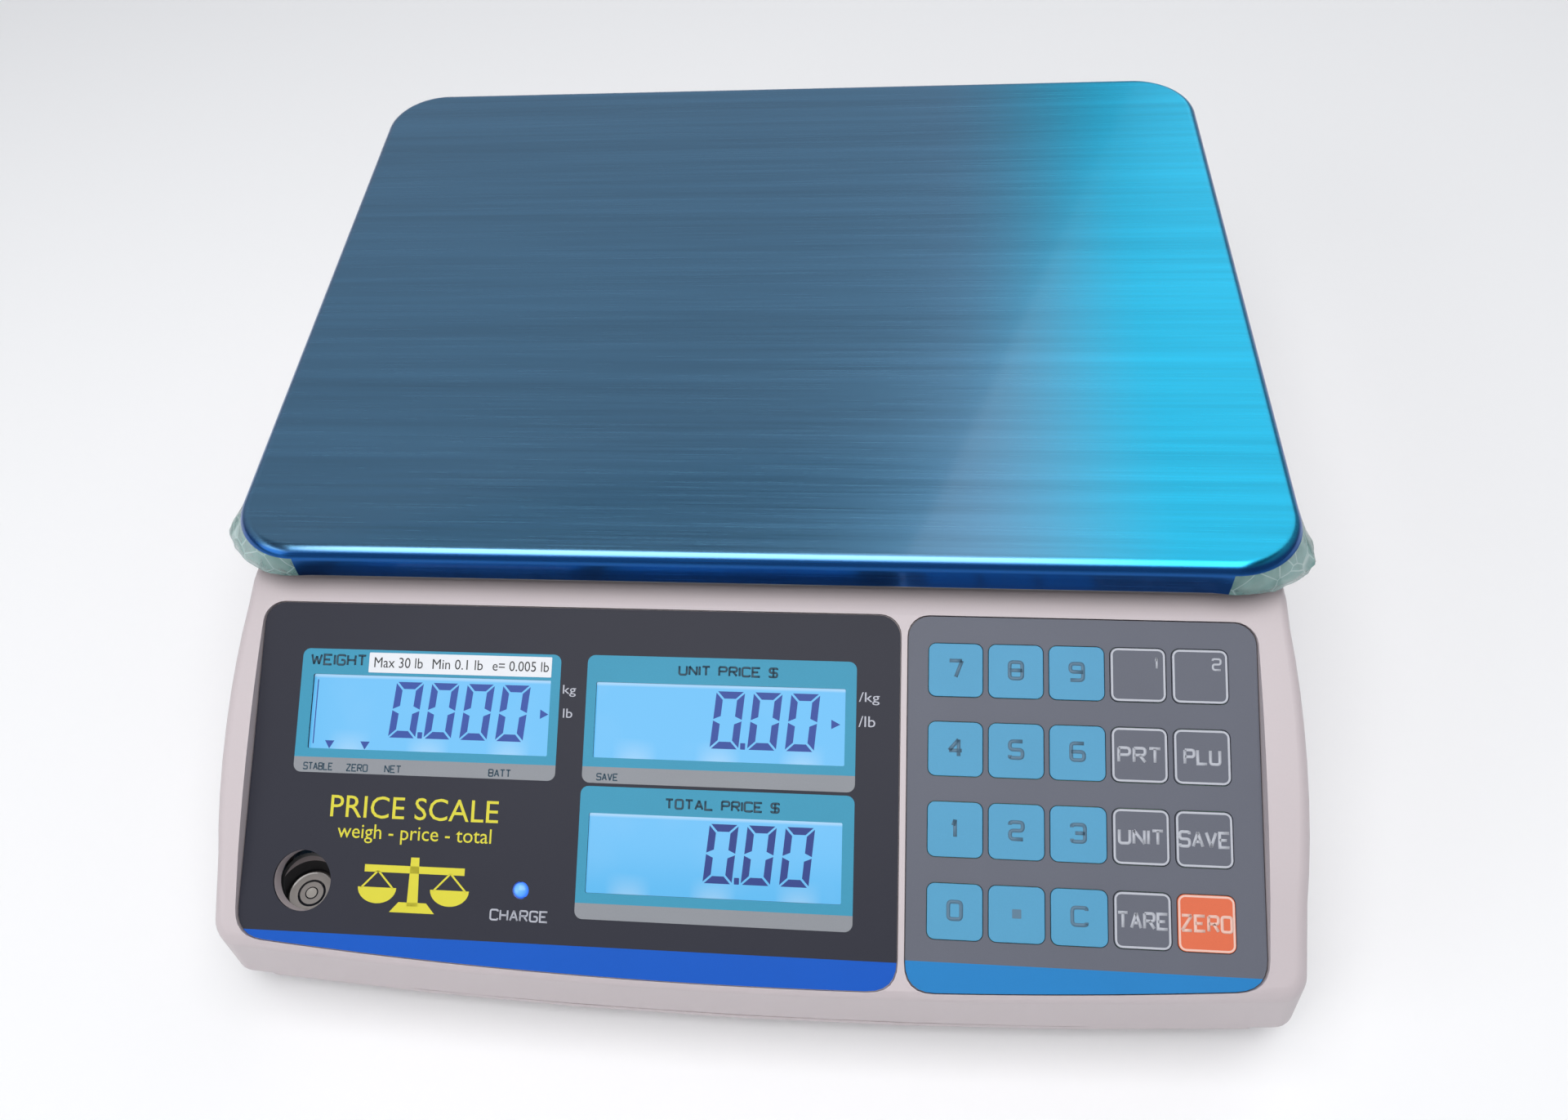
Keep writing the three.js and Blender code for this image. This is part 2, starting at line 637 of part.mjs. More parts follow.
// power switch, inlet and serial port

// rocker switch in the right-hand wall: a frame with a flange outside, open for the rocker
function switchFrame() {
  const wallX = HALF_WAIST;
  const around = (x0, x1, halfY, halfZ) => solid(
    box(x0, x1, SWITCH_Y - halfY, SWITCH_Y + halfY, PORT_Z - halfZ, PORT_Z + halfZ));
  const barrel = around(wallX - 14, wallX + GAP + 0.2, 9.5, 6.5);
  const flange = around(wallX + GAP, wallX + 1.8, 11, 8);
  const mouth = around(wallX - 9, wallX + 5, 8.2, 5.2);
  return geometryOf(barrel.add(flange).subtract(mouth));
}
addPiece(scale, 'switch_frame', switchFrame(), darkPlastic);

function switchRocker() {
  const half = 7.2;
  const shape = new THREE.Shape();
  shape.moveTo(-3.4, -3);
  shape.lineTo(-3.4, 3);
  shape.lineTo(0, half);
  shape.lineTo(3.2, half);
  shape.quadraticCurveTo(1.2, 0, 3.2, -half);
  shape.lineTo(0, -half);
  const geometry = prism(shape, -4.9, 4.9, 6);
  return geometry.rotateZ(SWITCH_REST);
}
addPiece(scale, 'switch_rocker', switchRocker(), darkPlastic).position.set(HALF_WAIST - 2, SWITCH_Y, PORT_Z);

// mains inlet in the rear wall: a flanged body, a socket open to the rear and three short pins
function powerInlet() {
  const around = (halfX, halfZ, y0, y1, x = INLET_X, z = PORT_Z) => solid(
    box(x - halfX, x + halfX, y0, y1, z - halfZ, z + halfZ));
  const floorY = REAR_Y - 16;
  let body = around(14, 10, REAR_Y - 20, REAR_Y + GAP + 0.2);
  body = body.add(around(16, 12, REAR_Y + GAP, -FRONT_Y));
  body = body.subtract(around(12, 8, floorY, REAR_Y + 5));
  [[-7, -2], [7, -2], [0, 2]].forEach(([x, z]) => {
    body = body.add(around(1, 2, floorY - 1, floorY + 11, INLET_X + x, PORT_Z + z));
  });
  return geometryOf(body);
}
addPiece(scale, 'power_inlet', powerInlet(), darkPlastic);

// nine-way socket for a label printer: a flange and a D-shaped body standing out of it
function serialPort() {
  const face = new THREE.Shape();
  face.moveTo(-8.2, 4);
  face.lineTo(-7, -4);
  face.lineTo(7, -4);
  face.lineTo(8.2, 4);
  const shroud = new THREE.ExtrudeGeometry(face, { depth: 13, bevelEnabled: false });
  shroud.rotateX(Math.PI / 2).translate(SERIAL_X, REAR_Y + 1.8, PORT_Z);
  const around = (halfX, halfZ, y0, y1) => solid(
    box(SERIAL_X - halfX, SERIAL_X + halfX, y0, y1, PORT_Z - halfZ, PORT_Z + halfZ));
  const block = around(9.5, 5.5, REAR_Y - 12, REAR_Y - 0.5);
  const flange = around(15.4, 6.3, REAR_Y + GAP, REAR_Y + GAP + 0.8);
  return geometryOf(block.add(solid(shroud)).add(flange));
}
addPiece(scale, 'serial_port', serialPort(), zinc);

// feet

feet.forEach(([corner, x, y]) => {
  addPiece(scale, `foot_stud_${corner}`, cylinder(STUD_RADIUS, FOOT_HEIGHT + GAP, STUD_TOP, 0, 0, 16), zinc)
    .position.set(x, y, 0);
  const edge = 1.5;
  const profile = [
    new THREE.Vector2(0, 0),
    new THREE.Vector2(FOOT_RADIUS - edge, 0),
    new THREE.Vector2(FOOT_RADIUS, edge),
    new THREE.Vector2(FOOT_RADIUS - 1, FOOT_HEIGHT - edge),
    new THREE.Vector2(FOOT_RADIUS - 2 * edge, FOOT_HEIGHT),
    new THREE.Vector2(0, FOOT_HEIGHT),
  ];
  const padGeometry = new THREE.LatheGeometry(profile, 24).rotateX(Math.PI / 2);
  addPiece(scale, `foot_pad_${corner}`, padGeometry, rubber).position.set(x, y, 0);
});

export default scale;
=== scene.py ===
# Countertop price-computing scale: the visible model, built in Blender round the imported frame.
# Pieces are drawn in millimetres, in the scale's own axes or in those of its sloped panel, and are then
# settled into metres, so that every finished object stands at the origin with its place in its mesh.
import math

import bmesh
import bpy
from bpy.props import FloatProperty, FloatVectorProperty, PointerProperty
from mathutils import Matrix, Quaternion, Vector, noise


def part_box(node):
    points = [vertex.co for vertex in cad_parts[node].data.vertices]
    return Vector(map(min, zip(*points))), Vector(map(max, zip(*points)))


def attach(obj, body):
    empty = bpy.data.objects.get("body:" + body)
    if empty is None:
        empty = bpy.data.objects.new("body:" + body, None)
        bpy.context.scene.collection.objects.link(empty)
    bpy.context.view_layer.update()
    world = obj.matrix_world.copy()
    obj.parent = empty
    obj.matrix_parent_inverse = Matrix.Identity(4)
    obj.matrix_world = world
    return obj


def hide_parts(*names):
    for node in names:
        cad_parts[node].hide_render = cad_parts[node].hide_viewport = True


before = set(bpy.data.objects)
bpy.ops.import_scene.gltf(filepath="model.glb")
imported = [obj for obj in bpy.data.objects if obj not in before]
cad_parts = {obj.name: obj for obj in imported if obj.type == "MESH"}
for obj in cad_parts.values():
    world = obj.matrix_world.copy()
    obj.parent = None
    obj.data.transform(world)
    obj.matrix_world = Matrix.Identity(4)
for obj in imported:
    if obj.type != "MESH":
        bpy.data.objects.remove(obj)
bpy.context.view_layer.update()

bl_info = {
    "name": "Price-computing scale",
    "version": (1, 0, 0),
    "blender": (4, 5, 0),
    "location": "3D View > Sidebar > Scale",
    "description": "Models the visible pieces of a counter scale round its packed frame",
    "category": "Object",
}

MM = 0.001

# Case, in millimetres.
DECK_TOP = 92.0
PARTING_Z = 14.0
FRONT_Y = -164.1
REAR_Y = 162.0
HALF_WAIST = 148.4
# Beside the panel the walls bow outwards and flare at the foot; the front wall sags back at its ends.
SIDE_BOW = 2.0
BOW_END_Y = -144.8
SIDE_FLARE = 6.5
FLARE_RUN = 60.0
FRONT_SAG = 5.3
SAG_START_Y = -120.0
FRONT_LEAN = 3.0
RAIL_LIFT = 6.0
CASE_WALL = 3.0
# From the load cell's free end to the post of the spider, and the places that cutters reach past the walls.
POST_INSET = 15.0
BEYOND_SIDE = 170.0
BEYOND_REAR = 180.0

# Sloped panel: its x runs right, its y up the slope and its z out of it.
PANEL_TOP = Vector((0.0, -72.1, 89.7))
PANEL_SLOPE = math.radians(27.3)
PANEL = Matrix.Translation(PANEL_TOP) @ Matrix.Rotation(PANEL_SLOPE, 4, "X")
DISPLAY_LEFT = -141.7
DISPLAY_RIGHT = 43.5
KEYPAD_LEFT = 45.7
KEYPAD_RIGHT = 138.7
# The deck starts this far behind the top of the panel.
DECK_STEP = 7.5
PANEL_FOOT = 101.9
PANEL_FOOT_SAG = 6.2
FILM_THICK = 0.8
FILM_CLEARANCE = 0.3
DISPLAY_BED = 1.1
KEYPAD_BED = 2.3
RIB_RISE = 0.3
DISPLAY_BAND = 93.8
KEYPAD_BAND = 93.0
INK = 0.03

# Lit areas of the displays on the panel: left, right, top and bottom.
DISPLAYS = {
    "weight_lcd": (-125.5, -55.0, 20.9, 42.4),
    "unit_price_lcd": (-41.8, 28.6, 20.9, 42.2),
    "total_price_lcd": (-42.0, 28.4, 57.6, 79.4),
}
# Printed frames round them, with the height at which the grey strip starts.
DISPLAY_FRAMES = {
    "weight_lcd": (-129.2, -52.3, 13.5, 49.25, 44.9),
    "unit_price_lcd": (-44.6, 31.6, 13.3, 49.3, 44.8),
    "total_price_lcd": (-44.7, 31.6, 50.2, 86.5, 82.2),
}
LCD_TOP = -1.2
LCD_THICK = 8.0
LCD_BORDER = 1.6
DIGIT_PITCH = 10.53
DIGIT_LEAN = 1.5 / 16.1
LEVEL_X = -123.7
LEVEL_DOWN = 79.7
LEVEL_RADIUS = 8.5
LED_X = -60.3
LED_DOWN = 79.6
LED_RADIUS = 2.1

# Keys in rows from the top left: frame node, and the word on the key.
KEY_ROWS = [
    [("7", "7"), ("8", "8"), ("9", "9"), ("f1", "1"), ("f2", "2")],
    [("4", "4"), ("5", "5"), ("6", "6"), ("print", "PRT"), ("plu", "PLU")],
    [("1", "1"), ("2", "2"), ("3", "3"), ("unit", "UNIT"), ("save", "SAVE")],
    [("0", "0"), ("point", "."), ("clear", "C"), ("tare", "TARE"), ("zero", "ZERO")],
]
KEY_SIZE = 14.65
KEY_GAP = 0.2
KEY_RISE = 0.3
KEY_FOOT = -0.9
KEY_LEFT = 51.35
KEY_PITCH_X = 16.26
KEY_TOP = 7.5
KEY_PITCH_Y = 21.64
# Width and height of the words on the function keys.
KEY_WORDS = {
    "PRT": (11.7, 4.5),
    "PLU": (9.8, 4.4),
    "UNIT": (12.1, 4.3),
    "SAVE": (13.4, 4.5),
    "TARE": (13.4, 4.6),
    "ZERO": (13.4, 4.6),
}

# Squared capitals and figures on a grid four wide and six high. Strokes led by R have rounded corners.
GLYPHS = {
    "0": "R0006464000", "1": "S1426 S2620", "2": "R05064643030040", "3": "R050646400001 S1343",
    "4": "S3630 S3602 S0242", "5": "R46060343400001", "6": "R460600404303", "7": "S0646 S4620",
    "8": "R0006464000 S0343", "9": "R430306464000", "A": "S0026 S2640 S1232",
    "B": "S0006 R06464303 R03434000",
    "C": "R454606004041", "D": "S0006 R06464000", "E": "S46060040 S0333", "G": "R45460600404323",
    "H": "S0006 S4046 S0343", "I": "S0006", "K": "S0006 S460340", "L": "S060040",
    "M": "S0006 S0622 S2246 S4640", "N": "S0006 S0640 S4046", "O": "R0006464000",
    "P": "S0006 R06464303", "R": "S0006 R06464303 S2340",
    "S": "R4546060343400001", "T": "S0646 S2026", "U": "R06004046", "V": "S0620 S2046",
    "W": "S0610 S1025 S2530 S3046", "X": "S0046 S0640", "Z": "S0646 S4600 S0040",
    "$": "R4546060343400001 S2026", "/": "S0036", " ": "",
}
# Widths that differ from the usual four, and those signs whose strokes are stretched to them.
GLYPH_WIDTHS = {"I": 0.0, "1": 3.0, " ": 2.2, "/": 3.0, "W": 5.2, "M": 4.6}
STRETCHED = "WM1/"
GLYPH_WIDTH = 4.0
GLYPH_HEIGHT = 6
GLYPH_GAP = 1.5
GLYPH_ROUND = 1.15

# Height over the panel of the figures in the displays.
IN_DISPLAY = (LCD_TOP - 0.02, LCD_TOP + 0.04)
# Height over the panel of print laid straight on a film, and of print that lies over a printed frame.
ON_FILM = (-0.01, INK)
ON_FRAME = (INK - 0.01, INK + 0.02)


def linear(code):
    """Turns an sRGB hex colour into the linear one that shaders use."""
    channels = []
    for start in (1, 3, 5):
        value = int(code[start:start + 2], 16) / 255
        value = value / 12.92 if value <= 0.04045 else ((value + 0.055) / 1.055) ** 2.4
        channels.append(value)
    return (*channels, 1.0)


# Helpers that act on Blender's selection.


def clear():
    """Goes back to object mode with nothing selected."""
    if bpy.context.object and bpy.context.object.mode != "OBJECT":
        bpy.ops.object.mode_set(mode="OBJECT")
    bpy.ops.object.select_all(action="DESELECT")


def hold(piece):
    """Makes one piece the selected and active one."""
    clear()
    piece.select_set(True)
    bpy.context.view_layer.objects.active = piece


def edit(piece):
    """Opens one piece in edit mode."""
    hold(piece)
    bpy.ops.object.mode_set(mode="EDIT")


def pick(piece, kind, test):
    """Selects the points, edges or faces that pass a test, and nothing else."""
    bpy.ops.mesh.select_mode(type=kind)
    bpy.ops.mesh.select_all(action="DESELECT")
    shape = bmesh.from_edit_mesh(piece.data)
    parts = {"VERT": shape.verts, "EDGE": shape.edges, "FACE": shape.faces}[kind]
    for part in parts:
        if test(part):
            part.select_set(True)
    bmesh.update_edit_mesh(piece.data)


def middle(edge):
    """The middle point of an edge."""
    return (edge.verts[0].co + edge.verts[1].co) / 2


def select_whole():
    """Selects everything of the piece that is open in edit mode."""
    bpy.ops.mesh.select_all(action="SELECT")


def score(axis, *places):
    """Adds straight edges across the piece open in edit mode, square to one axis, at the given places."""
    for distance in places:
        select_whole()
        normal = Vector((0, 0, 0))
        normal[axis] = 1
        bpy.ops.mesh.bisect(plane_co=normal * distance, plane_no=normal)


def bevel_top(piece, height, offset, segments):
    """Rounds the edges at the top of the piece open in edit mode."""
    pick(piece, "EDGE", lambda edge: all(point.co.z > height - 0.01 for point in edge.verts))
    bpy.ops.mesh.bevel(offset=offset, segments=segments, affect="EDGES")


def leave_edit():
    """Goes back to object mode, with the mesh as edited."""
    bpy.ops.object.mode_set(mode="OBJECT")


def close_edit():
    """Turns every face of the piece open in edit mode outwards, and leaves edit mode."""
    select_whole()
    bpy.ops.mesh.normals_make_consistent(inside=False)
    leave_edit()


def apply_modifier(piece, kind, **settings):
    """Adds a modifier, sets it and applies it."""
    hold(piece)
    modifier = piece.modifiers.new(kind.lower(), kind)
    for name, value in settings.items():
        setattr(modifier, name, value)
    bpy.ops.object.modifier_apply(modifier=modifier.name)


def cut(piece, cutter, operation="DIFFERENCE"):
    """Cuts a piece with another, or joins or crosses them, and removes the other."""
    apply_modifier(piece, "BOOLEAN", object=cutter, operation=operation, solver="MANIFOLD")
    bpy.data.objects.remove(cutter)


def join(pieces, name):
    """Makes one piece of several."""
    clear()
    for piece in pieces:
        piece.select_set(True)
    bpy.context.view_layer.objects.active = pieces[0]
    bpy.ops.object.join()
    pieces[0].name = name
    return pieces[0]


def copy(piece, name, move=(0, 0, 0)):
    """A copy with a mesh of its own, shifted."""
    made = piece.copy()
    made.data = piece.data.copy()
    made.name = name
    bpy.context.scene.collection.objects.link(made)
    made.data.transform(Matrix.Translation(move))
    return made


def place(piece, matrix):
    """Moves a piece's mesh, leaving its object at the origin."""
    hold(piece)
    piece.matrix_world = matrix
    bpy.ops.object.transform_apply(location=True, rotation=True, scale=True)


def smooth(piece, degrees=32):
    """Shades a piece smooth up to an angle, with flat faces kept flat."""
    hold(piece)
    bpy.ops.object.shade_smooth_by_angle(angle=math.radians(degrees))
    apply_modifier(piece, "WEIGHTED_NORMAL", keep_sharp=True)


def dress(piece, *materials):
    """Gives a piece its materials; each face keeps its number among them, which starts as the first."""
    kept = [face.material_index for face in piece.data.polygons]
    piece.data.materials.clear()
    for material in materials:
        piece.data.materials.append(material)
    for face, index in zip(piece.data.polygons, kept):
        face.material_index = index


def paint(piece, index, test):
    """Gives one of a piece's materials to the faces that pass a test."""
    for face in piece.data.polygons:
        if test(face):
            face.material_index = index


def deliver(piece, body, slot, *nodes, matrix=Matrix.Identity(4)):
    """Settles a finished piece into metres, on its body, and hides the nodes it stands for. The slot is not
    used.
    """
    place(piece, Matrix.Scale(MM, 4) @ matrix)
    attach(piece, body)
    if nodes:
        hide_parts(*nodes)
    return piece


# Outlines and bodies that several pieces start from.


def rounded(left, right, low, high, radius, steps=6):
    """Points round a rectangle with rounded corners, anticlockwise."""
    corners = [(right, low, -90), (right, high, 0), (left, high, 90), (left, low, 180)]
    points = []
    for x, y, start in corners:
        centre_x = x - radius if x == right else x + radius
        centre_y = y - radius if y == high else y + radius
        for i in range(steps + 1):
            turn = math.radians(start + 90 * i / steps)
            points.append((centre_x + radius * math.cos(turn), centre_y + radius * math.sin(turn)))
    return points


def circle(x, y, radius, steps=48):
    """Points round a circle, anticlockwise."""
    turns = [2 * math.pi * i / steps for i in range(steps)]
    return [(x + radius * math.cos(turn), y + radius * math.sin(turn)) for turn in turns]


def edge_down(x):
    """Distance down the slope of the bottom edge of the films, part of one long arc."""
    return PANEL_FOOT - PANEL_FOOT_SAG * (x / DISPLAY_LEFT) ** 2


def key_place(row, column):
    """The middle of a key on the panel."""
    return KEY_LEFT + column * KEY_PITCH_X + KEY_SIZE / 2, -(KEY_TOP + row * KEY_PITCH_Y) - KEY_SIZE / 2


def film_outline(left, right, grow=0.0):
    """Points round a film on the panel, anticlockwise from its bottom left corner."""
    left -= grow
    right += grow
    top_corner = 6.0
    foot_corner = 8.0
    steps = 6
    points = []
    for i in range(steps + 1):
        along = i / steps
        x = left + foot_corner * along ** 2
        points.append((x, -edge_down(x) - grow + foot_corner * (1 - along) ** 2))
    spans = 24
    for i in range(1, spans):
        x = left + foot_corner + (right - left - 2 * foot_corner) * i / spans
        points.append((x, -edge_down(x) - grow))
    for i in range(steps + 1):
        along = 1 - i / steps
        x = right - foot_corner * along ** 2
        points.append((x, -edge_down(x) - grow + foot_corner * (1 - along) ** 2))
    for centre_x, start in ((right - top_corner, 0), (left + top_corner, 90)):
        for i in range(steps + 1):
            turn = math.radians(start + 90 * i / steps)
            x = centre_x + top_corner * math.cos(turn)
            points.append((x, grow - top_corner + top_corner * math.sin(turn)))
    return points


def plate(name, outline, low, high, flare=0.0):
    """A flat body with the given outline: a filled circle shaped to it and extruded."""
    clear()
    bpy.ops.mesh.primitive_circle_add(vertices=len(outline), fill_type="NGON")
    piece = bpy.context.object
    piece.name = name
    for point, (x, y) in zip(piece.data.vertices, outline):
        point.co = (x, y, low)
    edit(piece)
    select_whole()
    bpy.ops.mesh.extrude_region_move(TRANSFORM_OT_translate={"value": (0, 0, high - low)})
    if flare:
        xs = [x for x, _ in outline]
        ys = [y for _, y in outline]
        wide, deep = max(xs) - min(xs), max(ys) - min(ys)
        middle_point = ((max(xs) + min(xs)) / 2, (max(ys) + min(ys)) / 2, 0)
        bpy.ops.transform.resize(
            value=(1 + 2 * flare / wide, 1 + 2 * flare / deep, 1), center_override=middle_point)
    close_edit()
    return piece


def turned(name, profile, steps):
    """A body turned about Z from (radius, height) points, which start and end on the axis."""
    clear()
    bpy.ops.mesh.primitive_circle_add(vertices=len(profile), fill_type="NOTHING")
    piece = bpy.context.object
    piece.name = name
    for point, (radius, height) in zip(piece.data.vertices, profile):
        point.co = (radius, 0, height)
    edit(piece)
    last = len(profile) - 1
    pick(piece, "EDGE", lambda edge: {0, last} == {edge.verts[0].index, edge.verts[1].index})
    bpy.ops.mesh.delete(type="EDGE")
    select_whole()
    bpy.ops.mesh.spin(steps=steps, angle=2 * math.pi, center=(0, 0, 0), axis=(0, 0, 1))
    select_whole()
    bpy.ops.mesh.remove_doubles(threshold=0.001)
    close_edit()
    return piece


def soften(points, radius, closed):
    """Rounds the corners of a stroke."""
    made = []
    count = len(points)
    for i, point in enumerate(points):
        if not closed and i in (0, count - 1):
            made.append(point)
            continue
        before, after = points[i - 1], points[(i + 1) % count]
        reach_before = min(radius, (before - point).length / 2)
        reach_after = min(radius, (after - point).length / 2)
        start = point + (before - point).normalized() * reach_before
        end = point + (after - point).normalized() * reach_after
        for t in (0, 0.25, 0.5, 0.75, 1):
            made.append(start * (1 - t) ** 2 + point * 2 * t * (1 - t) + end * t ** 2)
    return made


def lettering(name, text, box, stroke, low, high):
    """Squared capitals drawn as strokes and fitted exactly to a box: left, right, top and bottom."""
    left, right, top, bottom = box
    widths = [GLYPH_WIDTHS.get(sign, GLYPH_WIDTH) for sign in text]
    across = (right - left - stroke) / (sum(widths) + GLYPH_GAP * (len(text) - 1))
    upward = (bottom - top - stroke) / GLYPH_HEIGHT
    drawing = bpy.data.curves.new(name, "CURVE")
    drawing.dimensions = "3D"
    drawing.extrude = (high - low) / 2
    x = left + stroke / 2
    for sign, width in zip(text, widths):
        stretch = width / GLYPH_WIDTH if sign in STRETCHED else 1.0
        for path in GLYPHS[sign].split():
            pairs = zip(path[1::2], path[2::2])
            points = [
                Vector((x + int(a) * across * stretch, -bottom + stroke / 2 + int(b) * upward))
                for a, b in pairs]
            closed = (points[0] - points[-1]).length < 1e-6
            if closed:
                points.pop()
            if path[0] == "R":
                points = soften(points, GLYPH_ROUND * across, closed)
            spline = drawing.splines.new("POLY")
            spline.points.add(len(points) - 1)
            spline.use_cyclic_u = closed
            for spot, point in zip(spline.points, points):
                spot.co = (point.x, point.y, (low + high) / 2, 1)
        x += (width + GLYPH_GAP) * across
    piece = bpy.data.objects.new(name, drawing)
    bpy.context.scene.collection.objects.link(piece)
    hold(piece)
    bpy.ops.object.convert(target="MESH")
    apply_modifier(piece, "SOLIDIFY", thickness=stroke, offset=0, use_even_offset=True)
    edit(piece)
    close_edit()
    return piece


def small_print(name, text, box, low, high):
    """Lower-case print in Blender's own typeface, fitted exactly to a box: left, right, top and bottom."""
    left, right, top, bottom = box
    clear()
    bpy.ops.object.text_add()
    piece = bpy.context.object
    piece.name = name
    piece.data.body = text
    piece.data.extrude = 0.02
    piece.data.resolution_u = 3
    bpy.ops.object.convert(target="MESH")
    points = [point.co.copy() for point in piece.data.vertices]
    x0, x1 = min(p.x for p in points), max(p.x for p in points)
    y0, y1 = min(p.y for p in points), max(p.y for p in points)
    z1 = max(p.z for p in points)
    for point in piece.data.vertices:
        x = left + (right - left) * (point.co.x - x0) / (x1 - x0)
        y = -bottom + (bottom - top) * (point.co.y - y0) / (y1 - y0)
        point.co = (x, y, high if point.co.z > z1 / 2 else low)
    return piece


# Finishes.


def link_inputs(tree, node, links):
    """Links inputs of a node to outputs; a node given instead of an output stands for its first one."""
    for socket, source in links.items():
        output = source.outputs[0] if isinstance(source, bpy.types.Node) else source
        tree.links.new(output, node.inputs[socket])


def add_node(tree, kind, values=None, links=None, **options):
    """Adds a shader node with its settings, its input values and its links."""
    made = tree.nodes.new("ShaderNode" + kind)
    for name, value in options.items():
        setattr(made, name, value)
    for socket, value in (values or {}).items():
        made.inputs[socket].default_value = value
    link_inputs(tree, made, links or {})
    return made


def start_material(name, **values):
    """A new material with a bare Principled shader, and its tree, shader and Object coordinates."""
    material = bpy.data.materials.new(name)
    material.use_nodes = True
    tree = material.node_tree
    shader = tree.nodes["Principled BSDF"]
    for socket, value in values.items():
        shader.inputs[socket.replace("_", " ")].default_value = value
    place_node = add_node(tree, "TexCoord")
    return material, tree, shader, place_node.outputs["Object"]


def grained(name, colour, grain, depth, rough, rough_spread, tone, cloud, **values):
    """Moulded, printed or cast finish: a fine grain of a real size in millimetres, with soft clouding."""
    material, tree, shader, where = start_material(name, **values)
    fine = add_node(
        tree, "TexNoise", {"Scale": 1 / (grain * MM), "Detail": 2.0, "Roughness": 0.55}, {"Vector": where})
    broad = add_node(tree, "TexNoise", {"Scale": 1 / (cloud * MM), "Detail": 3.0}, {"Vector": where})
    shade = add_node(tree, "MapRange", {"To Min": 1 - tone, "To Max": 1 + tone}, {"Value": broad})
    speck = add_node(tree, "MapRange", {"To Min": 1 - tone, "To Max": 1 + tone}, {"Value": fine})
    both = add_node(tree, "Math", None, {0: shade, 1: speck}, operation="MULTIPLY")
    tinted = add_node(tree, "VectorMath", {0: colour[:3]}, {"Scale": both}, operation="SCALE")
    gloss = add_node(
        tree, "MapRange", {"To Min": rough - rough_spread, "To Max": rough + rough_spread}, {"Value": fine})
    bump = add_node(tree, "Bump", {"Strength": 0.35, "Distance": depth * MM}, {"Height": fine})
    link_inputs(tree, shader, {"Base Color": tinted, "Roughness": gloss, "Normal": bump})
    return material


def moulded_abs(name, colour):
    """ABS from a spark-eroded mould: a matt, even grain of about half a millimetre, slightly waxy edges."""
    return grained(
        name, colour, grain=0.55, depth=0.05, rough=0.46, rough_spread=0.05, tone=0.018, cloud=45.0,
        Specular_IOR_Level=0.5, IOR=1.53)


def printed_polyester(name, colour):
    """Velvet-textured polyester printed from behind: a fine pebble of a third of a millimetre, low gloss."""
    return grained(
        name, colour, grain=0.34, depth=0.03, rough=0.45, rough_spread=0.07, tone=0.05, cloud=22.0,
        Specular_IOR_Level=0.22)


def screen_ink(name, colour):
    """Screen-printed ink: flat and matt, with the faint mottling of the mesh it was pressed through."""
    return grained(name, colour, grain=0.25, depth=0.01, rough=0.5, rough_spread=0.05, tone=0.03, cloud=12.0)


def zinc_plate(name):
    """Bright zinc on steel: fine crystals, slightly uneven in gloss."""
    return grained(
        name, linear("#C4C7CA"), grain=0.6, depth=0.01, rough=0.3, rough_spread=0.07, tone=0.06, cloud=3.0,
        Metallic=1.0)


def brushed_steel(name, colour, rough, coat=0.0, glare_colour=None, skirt=None):
    """Stainless sheet brushed along X: hairlines a few hundredths wide, drawn at 0.4 mm so that they show."""
    material, tree, shader, where = start_material(
        name, Metallic=1.0, Anisotropic=0.75, Coat_Weight=coat, Coat_Roughness=0.06)
    lines = add_node(tree, "Mapping", {"Scale": (18.0, 2400.0, 2400.0)}, {"Vector": where})
    hair = add_node(tree, "TexNoise", {"Scale": 1.0, "Detail": 4.0, "Roughness": 0.7}, {"Vector": lines})
    broad_lines = add_node(tree, "Mapping", {"Scale": (5.0, 300.0, 300.0)}, {"Vector": where})
    streak = add_node(tree, "TexNoise", {"Scale": 1.0, "Detail": 3.0}, {"Vector": broad_lines})
    mixed = add_node(tree, "Math", {1: 0.5}, {0: hair, 2: streak}, operation="MULTIPLY_ADD")
    shade = add_node(
        tree, "MapRange", {"From Min": 0.35, "From Max": 1.15, "To Min": 0.80, "To Max": 1.18},
        {"Value": mixed})
    across = add_node(tree, "CombineXYZ", {"Y": 1.0})
    axes = add_node(tree, "SeparateXYZ", None, {"Vector": where})
    # Painted reflection: towards the right-hand end the colour turns from the film's tint to a brighter,
    # clearer blue where a light shows in the steel, and the coat thins there.
    cloud_and_glare = add_node(
        tree, "MapRange", {"From Min": 55 * MM, "From Max": 122 * MM}, {"Value": axes.outputs["X"]},
        interpolation_type="SMOOTHSTEP")
    film = add_node(tree, "Mix", {6: colour, 7: glare_colour or colour}, {0: cloud_and_glare}, data_type="RGBA")
    # Painted shade: from the edge of the flat top downwards the colour turns to the dark skirt colour, which
    # also dims the highlight along the bend; the coat thins there too.
    drop = add_node(
        tree, "MapRange", {"From Min": 108.5 * MM, "From Max": 107.5 * MM}, {"Value": axes.outputs["Z"]})
    skirt_shaded = add_node(tree, "Mix", {7: skirt or colour}, {0: drop, 6: film.outputs[2]}, data_type="RGBA")
    tinted = add_node(
        tree, "VectorMath", None, {0: skirt_shaded.outputs[2], "Scale": shade}, operation="SCALE")
    if coat:
        duller = add_node(tree, "Math", None, {0: cloud_and_glare, 1: drop}, operation="MAXIMUM")
        gloss_left = add_node(tree, "MapRange", {"To Min": coat, "To Max": 0.15}, {"Value": duller})
        link_inputs(tree, shader, {"Coat Weight": gloss_left})
    gloss = add_node(tree, "MapRange", {"To Min": rough - 0.07, "To Max": rough + 0.09}, {"Value": hair})
    bump = add_node(tree, "Bump", {"Strength": 0.25, "Distance": 0.02 * MM}, {"Height": hair})
    link_inputs(
        tree, shader, {"Tangent": across, "Base Color": tinted, "Roughness": gloss, "Normal": bump})
    return material


